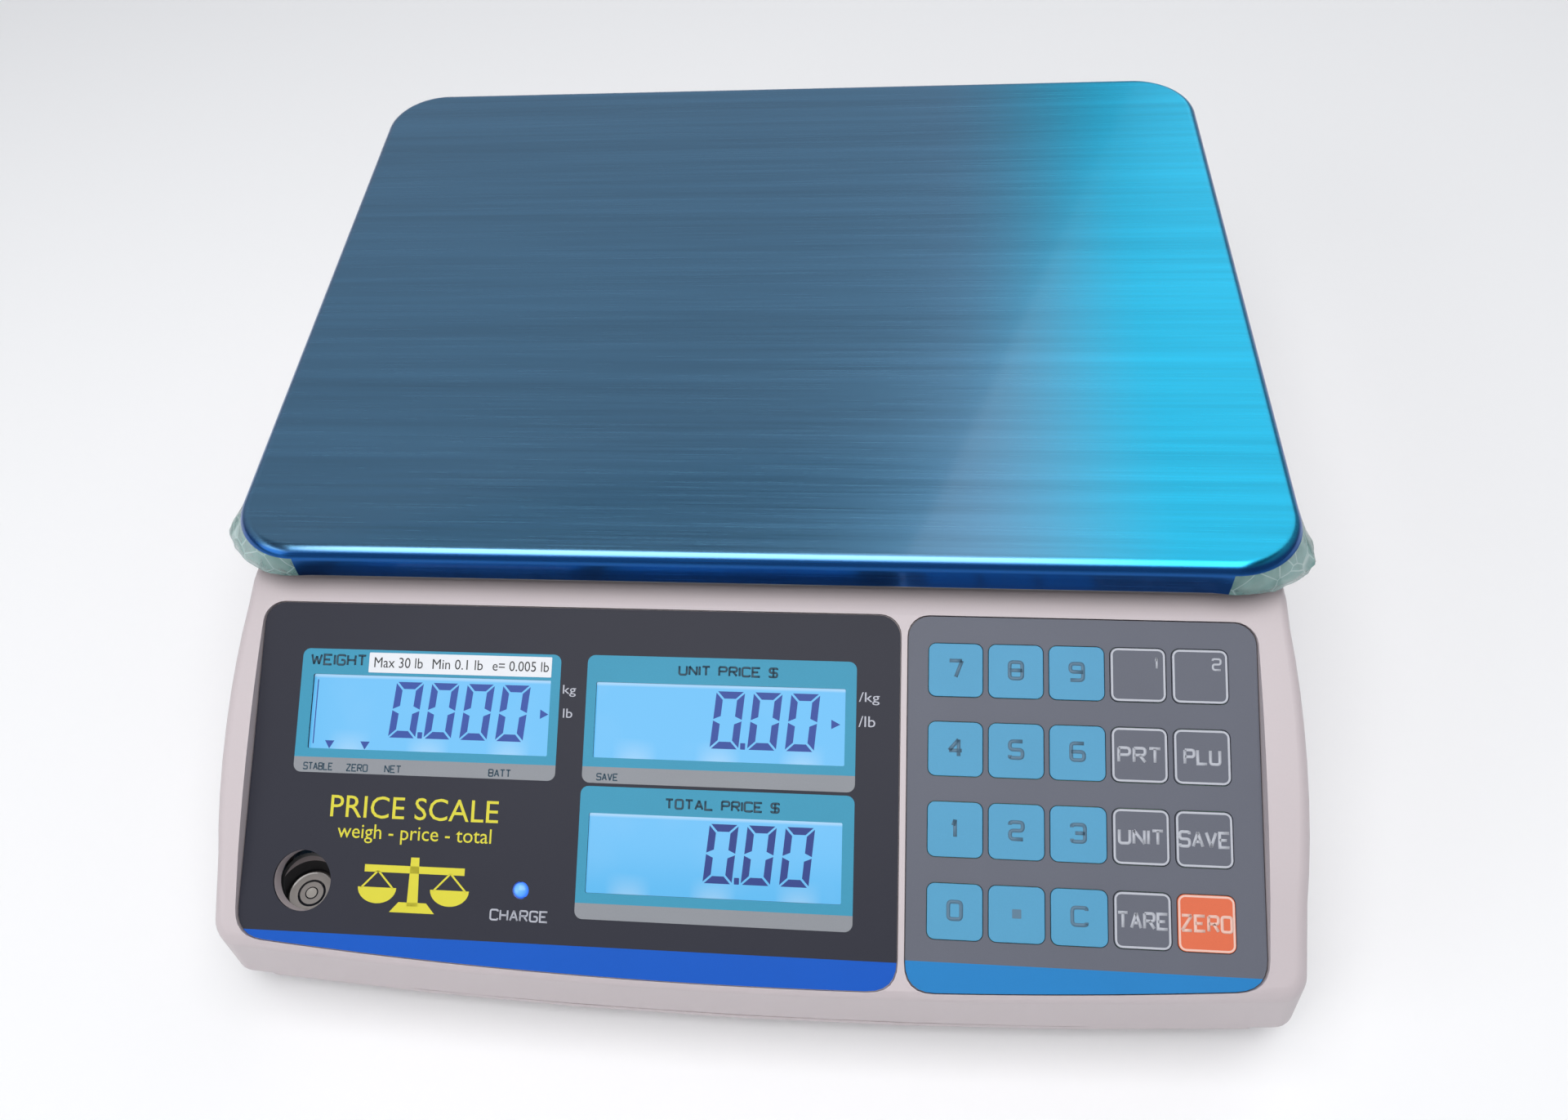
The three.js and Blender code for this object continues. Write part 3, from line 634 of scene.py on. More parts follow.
def loose_film(name, colour):
    """Polyethylene film that has come away from the steel: thin, see-through, glossy, with fine creases."""
    material, tree, shader, where = start_material(name, Alpha=0.62, Coat_Weight=0.5, Coat_Roughness=0.05)
    crease = add_node(
        tree, "TexVoronoi", {"Scale": 1 / (7 * MM)}, {"Vector": where}, feature="DISTANCE_TO_EDGE")
    cloudy = add_node(tree, "TexNoise", {"Scale": 1 / (4 * MM), "Detail": 3.0}, {"Vector": where})
    shade = add_node(tree, "MapRange", {"To Min": 0.55, "To Max": 1.35}, {"Value": cloudy})
    tinted = add_node(tree, "VectorMath", {0: colour[:3]}, {"Scale": shade}, operation="SCALE")
    # Painted glints: the colour turns pale along the creases, as if they caught the light.
    crease_glint_mask = add_node(
        tree, "MapRange", {"From Min": 0.0, "From Max": 0.03, "To Min": 0.5, "To Max": 0.0},
        {"Value": crease})
    glint = add_node(tree, "Mix", {7: linear("#E4F6F4")}, {0: crease_glint_mask, 6: tinted}, data_type="RGBA")
    gloss = add_node(tree, "MapRange", {"To Min": 0.08, "To Max": 0.26}, {"Value": cloudy})
    bump = add_node(tree, "Bump", {"Strength": 0.6, "Distance": 0.6 * MM}, {"Height": crease})
    link_inputs(tree, shader, {"Base Color": glint.outputs[2], "Roughness": gloss, "Normal": bump})
    return material


def panel_place(tree, where):
    """Turns the place of a point into millimetres along the panel's own axes."""
    return add_node(
        tree, "Mapping", {"Location": PANEL_TOP * MM, "Rotation": (PANEL_SLOPE, 0, 0), "Scale": (MM, MM, MM)},
        {"Vector": where}, vector_type="TEXTURE")


def backlit_glass(name, colour, left, right, top, bottom):
    """Display glass lit from its lower edge: brightest over the lamps, with a pale line along the top."""
    material, tree, shader, where = start_material(
        name, Roughness=0.12, Specular_IOR_Level=0.3, Emission_Strength=0.9,
        Base_Color=(*[c * 0.03 for c in colour[:3]], 1))
    axes = add_node(tree, "SeparateXYZ", None, {"Vector": panel_place(tree, where)})
    spacing = (right - left) / 3
    wave = add_node(
        tree, "Math", {1: 2 * math.pi / spacing, 2: -2 * math.pi * left / spacing - math.pi},
        {0: axes.outputs["X"]}, operation="MULTIPLY_ADD")
    lamps = add_node(tree, "Math", None, {0: wave}, operation="COSINE")
    near = add_node(
        tree, "MapRange", {"From Min": -bottom, "From Max": -bottom + 6, "To Min": 0.26, "To Max": 0.0},
        {"Value": axes.outputs["Y"]})
    glow = add_node(
        tree, "MapRange", {"From Min": -0.2, "From Max": 1.0, "To Min": 0.0, "To Max": 1.0}, {"Value": lamps})
    spots = add_node(tree, "Math", None, {0: near, 1: glow}, operation="MULTIPLY")
    edge = add_node(
        tree, "MapRange", {"From Min": -top - 1.1, "From Max": -top - 0.4, "To Min": 0.0, "To Max": 0.35},
        {"Value": axes.outputs["Y"]})
    cloud = add_node(tree, "TexNoise", {"Scale": 1 / (18 * MM), "Detail": 2.0}, {"Vector": where})
    cloud_and_glare = add_node(tree, "MapRange", {"To Min": -0.06, "To Max": 0.06}, {"Value": cloud})
    lit = add_node(tree, "Math", None, {0: spots, 1: edge}, operation="ADD")
    total = add_node(tree, "Math", None, {0: lit, 1: cloud_and_glare}, operation="ADD", use_clamp=True)
    light = add_node(tree, "Mix", {6: colour, 7: linear("#EAF7FF")}, {0: total}, data_type="RGBA")
    link_inputs(tree, shader, {"Emission Color": light.outputs[2]})
    return material


def solder_mask(name, colour):
    """Glass-epoxy board under green lacquer: glossy, with slightly lighter copper tracks beneath it."""
    material, tree, shader, where = start_material(name, Roughness=0.3)
    darker = (*[c * 0.86 for c in colour[:3]], 1)
    copper = (*[min(1, c * 1.7) for c in colour[:3]], 1)
    tracks = add_node(
        tree, "TexBrick",
        {"Scale": 1 / (9 * MM), "Mortar Size": 0.06, "Color1": colour, "Color2": darker, "Mortar": copper},
        {"Vector": where})
    bump = add_node(tree, "Bump", {"Strength": 0.3, "Distance": 0.05 * MM}, {"Height": tracks.outputs["Fac"]})
    link_inputs(tree, shader, {"Base Color": tracks, "Normal": bump})
    return material


def moulded_acrylic(name, colour):
    """Clear-coated acrylic, as in a level vial: very smooth, faintly uneven."""
    return grained(
        name, colour, grain=3.0, depth=0.02, rough=0.08, rough_spread=0.03, tone=0.05, cloud=6.0,
        Coat_Weight=0.8, Coat_Roughness=0.03, IOR=1.49)


def lamp_lens(name, colour):
    """Moulded lens over a small lamp, glowing more at its middle than at its rim."""
    material, tree, shader, where = start_material(
        name, Roughness=0.2, Base_Color=colour, Emission_Strength=0.8)
    spread = add_node(
        tree, "VectorMath", {1: (LED_X - 0.5, 0.5 - LED_DOWN, 0)}, {0: panel_place(tree, where)},
        operation="DISTANCE")
    glow = add_node(
        tree, "MapRange", {"From Min": 0.3, "From Max": 2.4, "To Min": 1.0, "To Max": 0.0},
        {"Value": spread.outputs["Value"]})
    light = add_node(tree, "Mix", {6: colour, 7: linear("#7DB4FF")}, {0: glow}, data_type="RGBA")
    link_inputs(tree, shader, {"Emission Color": light.outputs[2]})
    return material


class ScaleSizes(bpy.types.PropertyGroup):
    """Sizes of the modelled pieces."""

    rail_round: FloatProperty(
        name="Rim rounding", description="Rounding along the upper edges of the case",
        default=3.3 * MM, unit="LENGTH")
    case_corner: FloatProperty(
        name="Case corner", description="Radius of the upright corners of the case",
        default=6 * MM, unit="LENGTH")
    key_corner: FloatProperty(
        name="Key corner", description="Corner radius of the keys", default=2 * MM, unit="LENGTH")
    digit_height: FloatProperty(
        name="Digit height", description="Height of the digits in the displays",
        default=16.1 * MM, unit="LENGTH")
    platter_corner: FloatProperty(
        name="Platter corner", description="Corner radius of the platter", default=20 * MM, unit="LENGTH")
    film_ear: FloatProperty(
        name="Film ear", description="How far the loose film stands off the platter's front corners",
        default=2.4 * MM, unit="LENGTH")


class ScaleColours(bpy.types.PropertyGroup):
    """Colours of the modelled pieces."""

    case: FloatVectorProperty(
        name="Case", description="Moulded case", subtype="COLOR", size=4, default=linear("#C9BEC0"))
    panel: FloatVectorProperty(
        name="Panel", description="Display film", subtype="COLOR", size=4, default=linear("#2B2C37"))
    keypad: FloatVectorProperty(
        name="Key pad", description="Keypad film", subtype="COLOR", size=4, default=linear("#646772"))
    digit_key: FloatVectorProperty(
        name="Digit key", description="Number keys", subtype="COLOR", size=4, default=linear("#559DC2"))
    zero_key: FloatVectorProperty(
        name="Zero key", description="Key that sets zero", subtype="COLOR", size=4,
        default=linear("#DE6E4B"))
    frames: FloatVectorProperty(
        name="Display frames", description="Printed frames of the displays", subtype="COLOR", size=4,
        default=linear("#3D95B4"))
    glow: FloatVectorProperty(
        name="Backlight", description="Lit display", subtype="COLOR", size=4, default=linear("#66C2FA"))
    wrap: FloatVectorProperty(
        name="Platter film", description="Protective film on the steel", subtype="COLOR", size=4,
        default=(0.17, 0.43, 0.68, 1))


def sizes():
    """The sizes set in the scene."""
    return bpy.context.scene.counter_scale_sizes


def colours():
    """The colours set in the scene."""
    return bpy.context.scene.counter_scale_colours


def case_point(x, y, z):
    """Moves a point of a plain block to its place on the case."""
    side = x / HALF_WAIST
    sloped = max(0.0, min(1.0, (PANEL_TOP.y - y) / (PANEL_TOP.y - BOW_END_Y)))
    bow = SIDE_BOW * 4 * sloped * (1 - sloped)
    near_front = max(0.0, (SAG_START_Y - y) / (SAG_START_Y - FRONT_Y))
    lean = FRONT_LEAN if z < DECK_TOP / 2 else 0.0
    new_y = y + near_front * (FRONT_SAG * side ** 2 + lean)
    if y > PANEL_TOP.y + DECK_STEP:
        top = DECK_TOP
    else:
        # The rails bulge over the panel along a parabola from its top to its foot.
        t = (PANEL_TOP.y - y) / (PANEL_TOP.y - FRONT_Y)
        lift = 0.3 * (1 - t) ** 2 + 2 * RAIL_LIFT * t * (1 - t) + 0.4 * t ** 2
        top = PANEL_TOP.z + (new_y - PANEL_TOP.y) * math.tan(PANEL_SLOPE) + lift / math.cos(PANEL_SLOPE)
    if z > DECK_TOP / 2:
        return Vector((x + side * bow, new_y, top))
    flare = SIDE_FLARE * max(0.0, min(1.0, (PANEL_TOP.y - y) / FLARE_RUN))
    return Vector((x + side * (bow + flare), new_y, PARTING_Z))


class SCALE_OT_case(bpy.types.Operator):
    """Upper case: a block bent to the rails and the bowed front, hollowed and cut for what it holds"""

    bl_idname = "scale.model_case"
    bl_label = "Case"

    def execute(self, context):
        clear()
        bpy.ops.mesh.primitive_cube_add(size=1)
        case = context.object
        case.name = "case_upper"
        for point in case.data.vertices:
            x, y, z = point.co
            point.co = (2 * x * HALF_WAIST, FRONT_Y + (y + 0.5) * (REAR_Y - FRONT_Y),
                        PARTING_Z + (z + 0.5) * (DECK_TOP - PARTING_Z))
        edit(case)
        score(1, -140, -132, -123, -114, -105, -96, -88, -80, PANEL_TOP.y, PANEL_TOP.y + 8, -20, 60, 140)
        score(0, *range(-125, 126, 25))
        leave_edit()
        for point in case.data.vertices:
            point.co = case_point(*point.co)
        edit(case)

        def upright(edge):
            rise = edge.verts[1].co - edge.verts[0].co
            here = middle(edge)
            return (abs(rise.z) > 20 and abs(here.x) > HALF_WAIST - 2
                    and (here.y < FRONT_Y + 12 or here.y > REAR_Y - 1))

        pick(case, "EDGE", upright)
        bpy.ops.mesh.bevel(offset=sizes().case_corner / MM, segments=7, profile=0.5, affect="EDGES")
        leave_edit()
        self.round_edges(case)
        self.hollow(case)
        self.open_panel(case)
        self.open_walls(case)
        smooth(case, 28)
        dress(case, moulded_abs("moulded_abs_case", colours().case))
        deliver(case, "case", "case_plastic", "upper_case")
        return {"FINISHED"}

    def round_edges(self, case):
        """Rounds the rim of the top and of the foot with a weighted bevel."""
        rail = sizes().rail_round / MM
        shape = bmesh.new()
        shape.from_mesh(case.data)
        weights = shape.edges.layers.float.new("bevel_weight_edge")
        for edge in shape.edges:
            if len(edge.link_faces) != 2:
                continue
            ups = sorted(face.normal.z for face in edge.link_faces)
            if ups[1] > 0.6 and ups[0] < 0.45:
                edge[weights] = 1.0
            elif ups[0] < -0.6 and ups[1] > -0.45:
                edge[weights] = 1.2 / rail
        shape.to_mesh(case.data)
        shape.free()
        apply_modifier(case, "BEVEL", width=rail, segments=6, limit_method="WEIGHT", use_clamp_overlap=False)

    def hollow(self, case):
        """Takes out the inside, leaving an even wall."""
        plan = plate("hollow", rounded(-145.2, 145.2, FRONT_Y + 9.3, REAR_Y - CASE_WALL, 4.0), 0, 100)
        under = -(KEYPAD_BED + CASE_WALL) / math.cos(PANEL_SLOPE)
        front_z = PANEL_TOP.z + (FRONT_Y - PANEL_TOP.y) * math.tan(PANEL_SLOPE) + under
        ceiling = DECK_TOP - CASE_WALL
        profile = [
            (FRONT_Y, 0), (REAR_Y + 5, 0), (REAR_Y + 5, ceiling), (PANEL_TOP.y + 9, ceiling),
            (PANEL_TOP.y, PANEL_TOP.z + under), (FRONT_Y, front_z)]
        side = plate("side", profile, -160, 160)
        place(side, Matrix(((0, 0, 1, 0), (1, 0, 0, 0), (0, 1, 0, 0), (0, 0, 0, 1))))
        cut(plan, side, "INTERSECT")
        cut(case, plan)

    def open_panel(self, case):
        """Cuts the beds of the two films and the openings under them."""
        gap = FILM_CLEARANCE
        beds = [
            (DISPLAY_LEFT, KEYPAD_RIGHT, RIB_RISE, 1.2),
            (DISPLAY_LEFT, DISPLAY_RIGHT, -DISPLAY_BED, 0.0),
            (KEYPAD_LEFT, KEYPAD_RIGHT, -KEYPAD_BED, 0.0),
        ]
        for left, right, floor, flare in beds:
            bed = plate("bed", film_outline(left, right, gap), floor, 14 if flare else 2, flare)
            place(bed, PANEL)
            cut(case, bed)
        holes = []
        for left, right, top, bottom in DISPLAYS.values():
            grow = LCD_BORDER + gap
            outline = rounded(left - grow, right + grow, -bottom - grow, -top + grow, 0.6, 3)
            holes.append(plate("hole", outline, -12, 0))
        holes.append(plate("hole", circle(LEVEL_X, -LEVEL_DOWN, LEVEL_RADIUS), -14, 12))
        holes.append(plate("hole", circle(LED_X, -LED_DOWN, LED_RADIUS + gap, 32), -14, 12))
        cutter = join(holes, "holes")
        place(cutter, PANEL)
        cut(case, cutter)

    def open_walls(self, case):
        """Cuts the deck for the spider's post, and the walls for the inlet, the port and the switch."""
        lows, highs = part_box("platter_spider")
        post_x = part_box("load_cell")[1].x / MM - POST_INSET
        post_y = (lows.y + highs.y) / 2 / MM
        for name, half_x, half_y, corner, below, above, operation in (
                ("collar", 30, 27, 9, 1, 2.5, "UNION"), ("bore", 27, 24, 6, 10, 10, "DIFFERENCE")):
            outline = rounded(post_x - half_x, post_x + half_x, post_y - half_y, post_y + half_y, corner)
            cut(case, plate(name, outline, DECK_TOP - below, DECK_TOP + above), operation)
        # How far the body of each fitting stands in from its flange: along the wall, and up and down.
        fittings = {"power_inlet": (2.0, 2.0), "serial_port": (5.9, 0.8), "switch_frame": (1.5, 1.5)}
        for name, (inset, inset_z) in fittings.items():
            low, high = (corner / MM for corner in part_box(name))
            inset -= FILM_CLEARANCE
            inset_z -= FILM_CLEARANCE
            if name == "switch_frame":
                outline = rounded(low.x - 2, BEYOND_SIDE, low.y + inset, high.y - inset, 0.8, 3)
            else:
                outline = rounded(low.x + inset, high.x - inset, low.y - 2, BEYOND_REAR, 0.8, 3)
            cut(case, plate("hole", outline, low.z + inset_z, high.z - inset_z))


class SCALE_OT_films(bpy.types.Operator):
    """The two printed films, with their windows, colour bands and printed frames"""

    bl_idname = "scale.model_films"
    bl_label = "Printed films"

    def execute(self, context):
        film = plate("display_film", film_outline(DISPLAY_LEFT, DISPLAY_RIGHT), -FILM_THICK, 0)
        holes = [self.window(name) for name in DISPLAYS]
        holes.append(plate("window", circle(LEVEL_X, -LEVEL_DOWN, LEVEL_RADIUS), -2, 2))
        holes.append(plate("window", circle(LED_X, -LED_DOWN, LED_RADIUS + FILM_CLEARANCE, 32), -2, 2))
        cut(film, join(holes, "windows"))
        graphite = printed_polyester("printed_polyester_graphite", colours().panel)
        blue = printed_polyester("printed_polyester_blue", linear("#0055BC"))
        self.lay(film, DISPLAY_BAND, graphite, blue, "display_overlay")

        pad = plate("keypad_film", film_outline(KEYPAD_LEFT, KEYPAD_RIGHT), -FILM_THICK, 0)
        half = KEY_SIZE / 2 + KEY_GAP
        corner = sizes().key_corner / MM + KEY_GAP
        holes = []
        for row, names in enumerate(KEY_ROWS):
            for column in range(len(names)):
                x, y = key_place(row, column)
                holes.append(plate("hole", rounded(x - half, x + half, y - half, y + half, corner), -2, 2))
        cut(pad, join(holes, "holes"))
        grey = printed_polyester("printed_polyester_grey", colours().keypad)
        sky_blue = printed_polyester("printed_polyester_sky_blue", linear("#217EBF"))
        self.lay(pad, KEYPAD_BAND, grey, sky_blue, "keypad_overlay")

        cyan = printed_polyester("printed_polyester_cyan", colours().frames)
        silver = printed_polyester("printed_polyester_silver", linear("#8E9196"))
        for name, (left, right, top, bottom, strip) in DISPLAY_FRAMES.items():
            outline = rounded(left, right, -bottom, -top, 2.2)
            surround = plate(name.replace("lcd", "frame"), outline, -0.05, INK)
            cut(surround, self.window(name))
            self.lay(surround, strip, cyan, silver)
        return {"FINISHED"}

    def window(self, name):
        """A cutter for the opening over one display."""
        left, right, top, bottom = DISPLAYS[name]
        return plate("window", rounded(left, right, -bottom, -top, 0.4, 3), -2, 2)

    def lay(self, film, band, above, below, *nodes):
        """Prints a film in two colours, parted by a straight edge, and lays it on the panel."""
        edit(film)
        score(1, -band)
        leave_edit()
        dress(film, above, below)
        paint(film, 1, lambda face: face.center.y < -band)
        deliver(film, "case", "overlay_film", *nodes, matrix=PANEL)


class SCALE_OT_legends(bpy.types.Operator):
    """Words and marks printed on the display film, and a paper label"""

    bl_idname = "scale.model_legends"
    bl_label = "Legends"

    def execute(self, context):
        dark = [
            ("WEIGHT", (-126.8, -109.9, 15.0, 18.4), 0.6),
            ("UNIT PRICE $", (-18.5, 9.7, 15.5, 18.5), 0.58),
            ("TOTAL PRICE $", (-20.8, 11.2, 52.8, 55.8), 0.58),
            ("STABLE", (-126.3, -117.4, 46.4, 48.6), 0.34),
            ("ZERO", (-113.5, -107.0, 46.5, 48.7), 0.34),
            ("NET", (-102.1, -97.1, 46.5, 48.7), 0.34),
            ("BATT", (-71.6, -65.0, 46.5, 48.7), 0.34),
            ("SAVE", (-40.5, -34.3, 46.5, 48.6), 0.34),
        ]
        words = [lettering("word", text, box, stroke, *ON_FRAME) for text, box, stroke in dark]
        self.lay(words, "display_legends_dark", screen_ink("screen_ink_slate", linear("#274758")))

        pale = [
            ("kg", (-51.4, -47.6, 22.1, 25.4)),
            ("lb", (-51.0, -48.3, 28.8, 31.4)),
            ("/kg", (32.3, 38.0, 21.7, 25.2)),
            ("/lb", (32.3, 36.9, 28.3, 31.3)),
        ]
        words = [lettering("word", "CHARGE", (-68.6, -52.0, 84.9, 88.1), 0.5, *ON_FILM)]
        words += [small_print("word", text, box, *ON_FILM) for text, box in pale]
        self.lay(words, "display_legends_pale", screen_ink("screen_ink_pale", linear("#B4B6C0")))

        # A label of coated paper: smooth, white, with a faint mottle.
        label_top = INK + 0.08
        label = plate("capacity_label", rounded(-109.1, -55.0, -20.1, -14.3, 0.2, 2), INK, label_top)
        dress(label, grained(
            "coated_paper_white", linear("#E4E6EA"), grain=0.25, depth=0.01, rough=0.5, rough_spread=0.05,
            tone=0.03, cloud=12.0))
        deliver(label, "case", "overlay_film", matrix=PANEL)
        capacity = [
            ("Max 30 lb", (-107.5, -93.0, 15.6, 18.6)),
            ("Min 0.1 lb", (-90.1, -75.2, 15.7, 18.6)),
            ("e= 0.005 lb", (-72.3, -55.8, 15.7, 18.6)),
        ]
        words = [small_print("word", text, box, label_top - 0.01, label_top + 0.02) for text, box in capacity]
        self.lay(words, "capacity_print", screen_ink("screen_ink_black", linear("#1C1C20")))
        self.lay(self.heading(), "heading_print", screen_ink("screen_ink_yellow", linear("#D8CF2A")))
        return {"FINISHED"}

    def lay(self, pieces, name, ink):
        """Makes one print of several pieces and lays it on the panel."""
        made = join(pieces, name)
        dress(made, ink)
        deliver(made, "case", "overlay_film", matrix=PANEL)

    def heading(self):
        """A plain two-line heading over a balance sign."""
        pieces = [
            small_print("word", "PRICE SCALE", (-117.0, -67.9, 55.4, 61.6), *ON_FILM),
            small_print("word", "weigh - price - total", (-114.4, -69.5, 63.3, 68.6), *ON_FILM),
        ]
        outlines = [
            [(-105.5, -76.4), (-76.5, -76.4), (-76.5, -74.4), (-105.5, -74.4)],
            [(-92.2, -72.0), (-89.8, -72.0), (-89.4, -85.4), (-92.6, -85.4)],
            [(-97.5, -87.2), (-84.5, -87.2), (-87.0, -84.4), (-95.0, -84.4)],
        ]
        for x in (-101.5, -80.5):
            turns = [math.pi * i / 16 for i in range(17)]
            outlines.append([(x + 5.6 * math.cos(turn), -80.6 - 4.4 * math.sin(turn)) for turn in turns])
            for end in (x - 4.6, x + 4.6):
                outlines.append([
                    (x - 0.35, -76.0), (x + 0.35, -76.0), (end + 0.35, -80.8), (end - 0.35, -80.8)])
        return pieces + [plate("mark", outline, *ON_FILM) for outline in outlines]


class SCALE_OT_keys(bpy.types.Operator):
    """Twenty keys: blanks with soft edges, outlined ones for the functions, each with its own legend"""

    bl_idname = "scale.model_keys"
    bl_label = "Keys"

    def execute(self, context):
        blue = printed_polyester("printed_polyester_key_blue", colours().digit_key)
        slate = printed_polyester("printed_polyester_key_grey", colours().keypad)
        orange = printed_polyester("printed_polyester_key_orange", colours().zero_key)
        figure = screen_ink("screen_ink_figure", linear("#54778E"))
        pale = screen_ink("screen_ink_outline", linear("#B9BCC4"))
        peach = screen_ink("screen_ink_peach", linear("#EBC0B0"))
        blank = self.blank()
        for row, names in enumerate(KEY_ROWS):
            for column, (name, word) in enumerate(names):
                piece = copy(blank, "cap_" + name)
                if column < 3:
                    dress(piece, blue, blue, figure)
                elif name == "zero":
                    dress(piece, orange, peach, peach)
                else:
                    dress(piece, slate, pale, pale)
                legend = self.legend(word, column)
                dress(legend, *piece.data.materials)
                paint(legend, 2, lambda face: True)
                piece = join([piece, legend], "cap_" + name)
                here = PANEL @ Matrix.Translation((*key_place(row, column), 0))
                slot = "zero_key" if name == "zero" else "digit_key" if column < 3 else "function_key"
                deliver(piece, "key_" + name, slot, "key_" + name, matrix=here)
        bpy.data.objects.remove(blank)
        return {"FINISHED"}

    def blank(self):
        """A key about its own middle: a rounded pad, its top edge bevelled, with a rim for the outline."""
        half = KEY_SIZE / 2
        corner = sizes().key_corner / MM
        blank = plate("blank", rounded(-half, half, -half, half, corner, 8), KEY_FOOT, KEY_RISE)
        edit(blank)
        bevel_top(blank, KEY_RISE, 0.16, 3)
        pick(blank, "FACE", lambda face: face.normal.z > 0.99 and face.calc_area() > 100)
        bpy.ops.mesh.inset(thickness=0.04)
        bpy.ops.mesh.inset(thickness=0.5)
        leave_edit()
        smooth(blank, 40)

        def rim(face):
            edge_x, edge_y = half - abs(face.center.x), half - abs(face.center.y)
            return face.normal.z > 0.99 and 0.02 < face.area < 30 and min(edge_x, edge_y) < 2.2

        paint(blank, 1, rim)
        return blank

    def legend(self, word, column):
        """The figure, point or word of one key, about the key's middle."""
        low, high = KEY_RISE - 0.01, KEY_RISE + INK
        if word == ".":
            return plate("legend", rounded(-1.2, 1.2, -1.0, 1.4, 0.2, 2), low, high)
        if column > 2 and len(word) == 1:
            right = KEY_SIZE / 2 - 1.6
            top = -KEY_SIZE / 2 + 2.2
            width = 1.5 if word == "1" else 2.6
            return lettering("legend", word, (right - width, right, top, top + 3.5), 0.55, low, high)
        if column < 3:
            width = 3.0 if word == "1" else 4.7 if word == "C" else 4.4
            return lettering("legend", word, (-width / 2, width / 2, -3.1, 2.4), 1.0, low, high)
        width, height = KEY_WORDS[word]
        box = (-width / 2, width / 2, -height / 2, height / 2)
        return lettering("legend", word, box, 0.78, low, high)


def digit_zero(height):
    """The six lit bars of a figure nought, leaning a little to the right."""
    width, bar, gap = height / 2, 0.125 * height, 0.4
    top_bar = [(gap, height), (width - gap, height), (width - bar - gap, height - bar),
               (bar + gap, height - bar)]
    upper = [(0, height - gap), (bar, height - bar - gap), (bar, height / 2 + bar * 0.55),
             (0, height / 2 + gap / 2)]
    bars = []
    for flip_y in (False, True):
        for shape_points in (top_bar, upper, [(width - x, y) for x, y in upper]):
            points = [(x, height - y if flip_y else y) for x, y in shape_points]
            outline = [(x + y * DIGIT_LEAN, y) for x, y in points]
            area = sum(a[0] * b[1] - b[0] * a[1] for a, b in zip(outline, outline[1:] + outline[:1]))
            bars.append(plate("bar", outline if area > 0 else outline[::-1], *IN_DISPLAY))
    return join(bars, "nought")


class SCALE_OT_displays(bpy.types.Operator):
    """Three lit displays with their figures and pointers"""

    bl_idname = "scale.model_displays"
    bl_label = "Displays"

    def execute(self, context):
        height = sizes().digit_height / MM
        # Left edge of the first figure at its foot, foot height, number of figures, place of the point, ink.
        figures = {
            "weight_lcd": (-102.2, 38.6, 4, -93.5, "#1C459C"),
            "unit_price_lcd": (-9.0, 38.6, 3, -0.4, "#163E94"),
            "total_price_lcd": (-9.6, 75.4, 3, -0.9, "#0A2F80"),
        }
        # Pointers, and the line along the left edge of the weight display.
        marks = {
            "weight_lcd": [
                [(-120.9, -40.0), (-119.5, -42.3), (-118.1, -40.0)],
                [(-110.3, -40.0), (-108.9, -42.3), (-107.5, -40.0)],
                [(-57.9, -31.9), (-55.5, -30.55), (-57.9, -29.2)],
                rounded(-124.6, -124.3, -41.0, -22.4, 0.1, 2),
            ],
            "unit_price_lcd": [[(24.8, -32.1), (27.3, -30.8), (24.8, -29.5)]],
            "total_price_lcd": [],
        }
        for name, (left, right, top, bottom) in DISPLAYS.items():
            grow = LCD_BORDER
            outline = rounded(left - grow, right + grow, -bottom - grow, -top + grow, 0.4, 3)
            glass = plate("glass_" + name, outline, LCD_TOP - LCD_THICK, LCD_TOP)
            edit(glass)
            bevel_top(glass, LCD_TOP, 0.3, 2)
            leave_edit()
            dress(glass, backlit_glass("backlit_glass_" + name, colours().glow, left, right, top, bottom))
            deliver(glass, "case", "display_glass", name, matrix=PANEL)

            first, foot, count, point_x, ink = figures[name]
            nought = digit_zero(height)
            bars = [copy(nought, "figure", (first + i * DIGIT_PITCH, -foot, 0)) for i in range(count)]
            bpy.data.objects.remove(nought)
            point = rounded(point_x, point_x + 1.4, -foot, -foot + 1.8, 0.15, 2)
            bars += [plate("mark", outline, *IN_DISPLAY) for outline in [point, *marks[name]]]
            lit = join(bars, "figures_" + name)
            # Turned liquid crystal, which looks as flat and matt as ink.
            dress(lit, screen_ink("liquid_crystal_" + name, linear(ink)))
            deliver(lit, "case", "display_glass", matrix=PANEL)
        return {"FINISHED"}


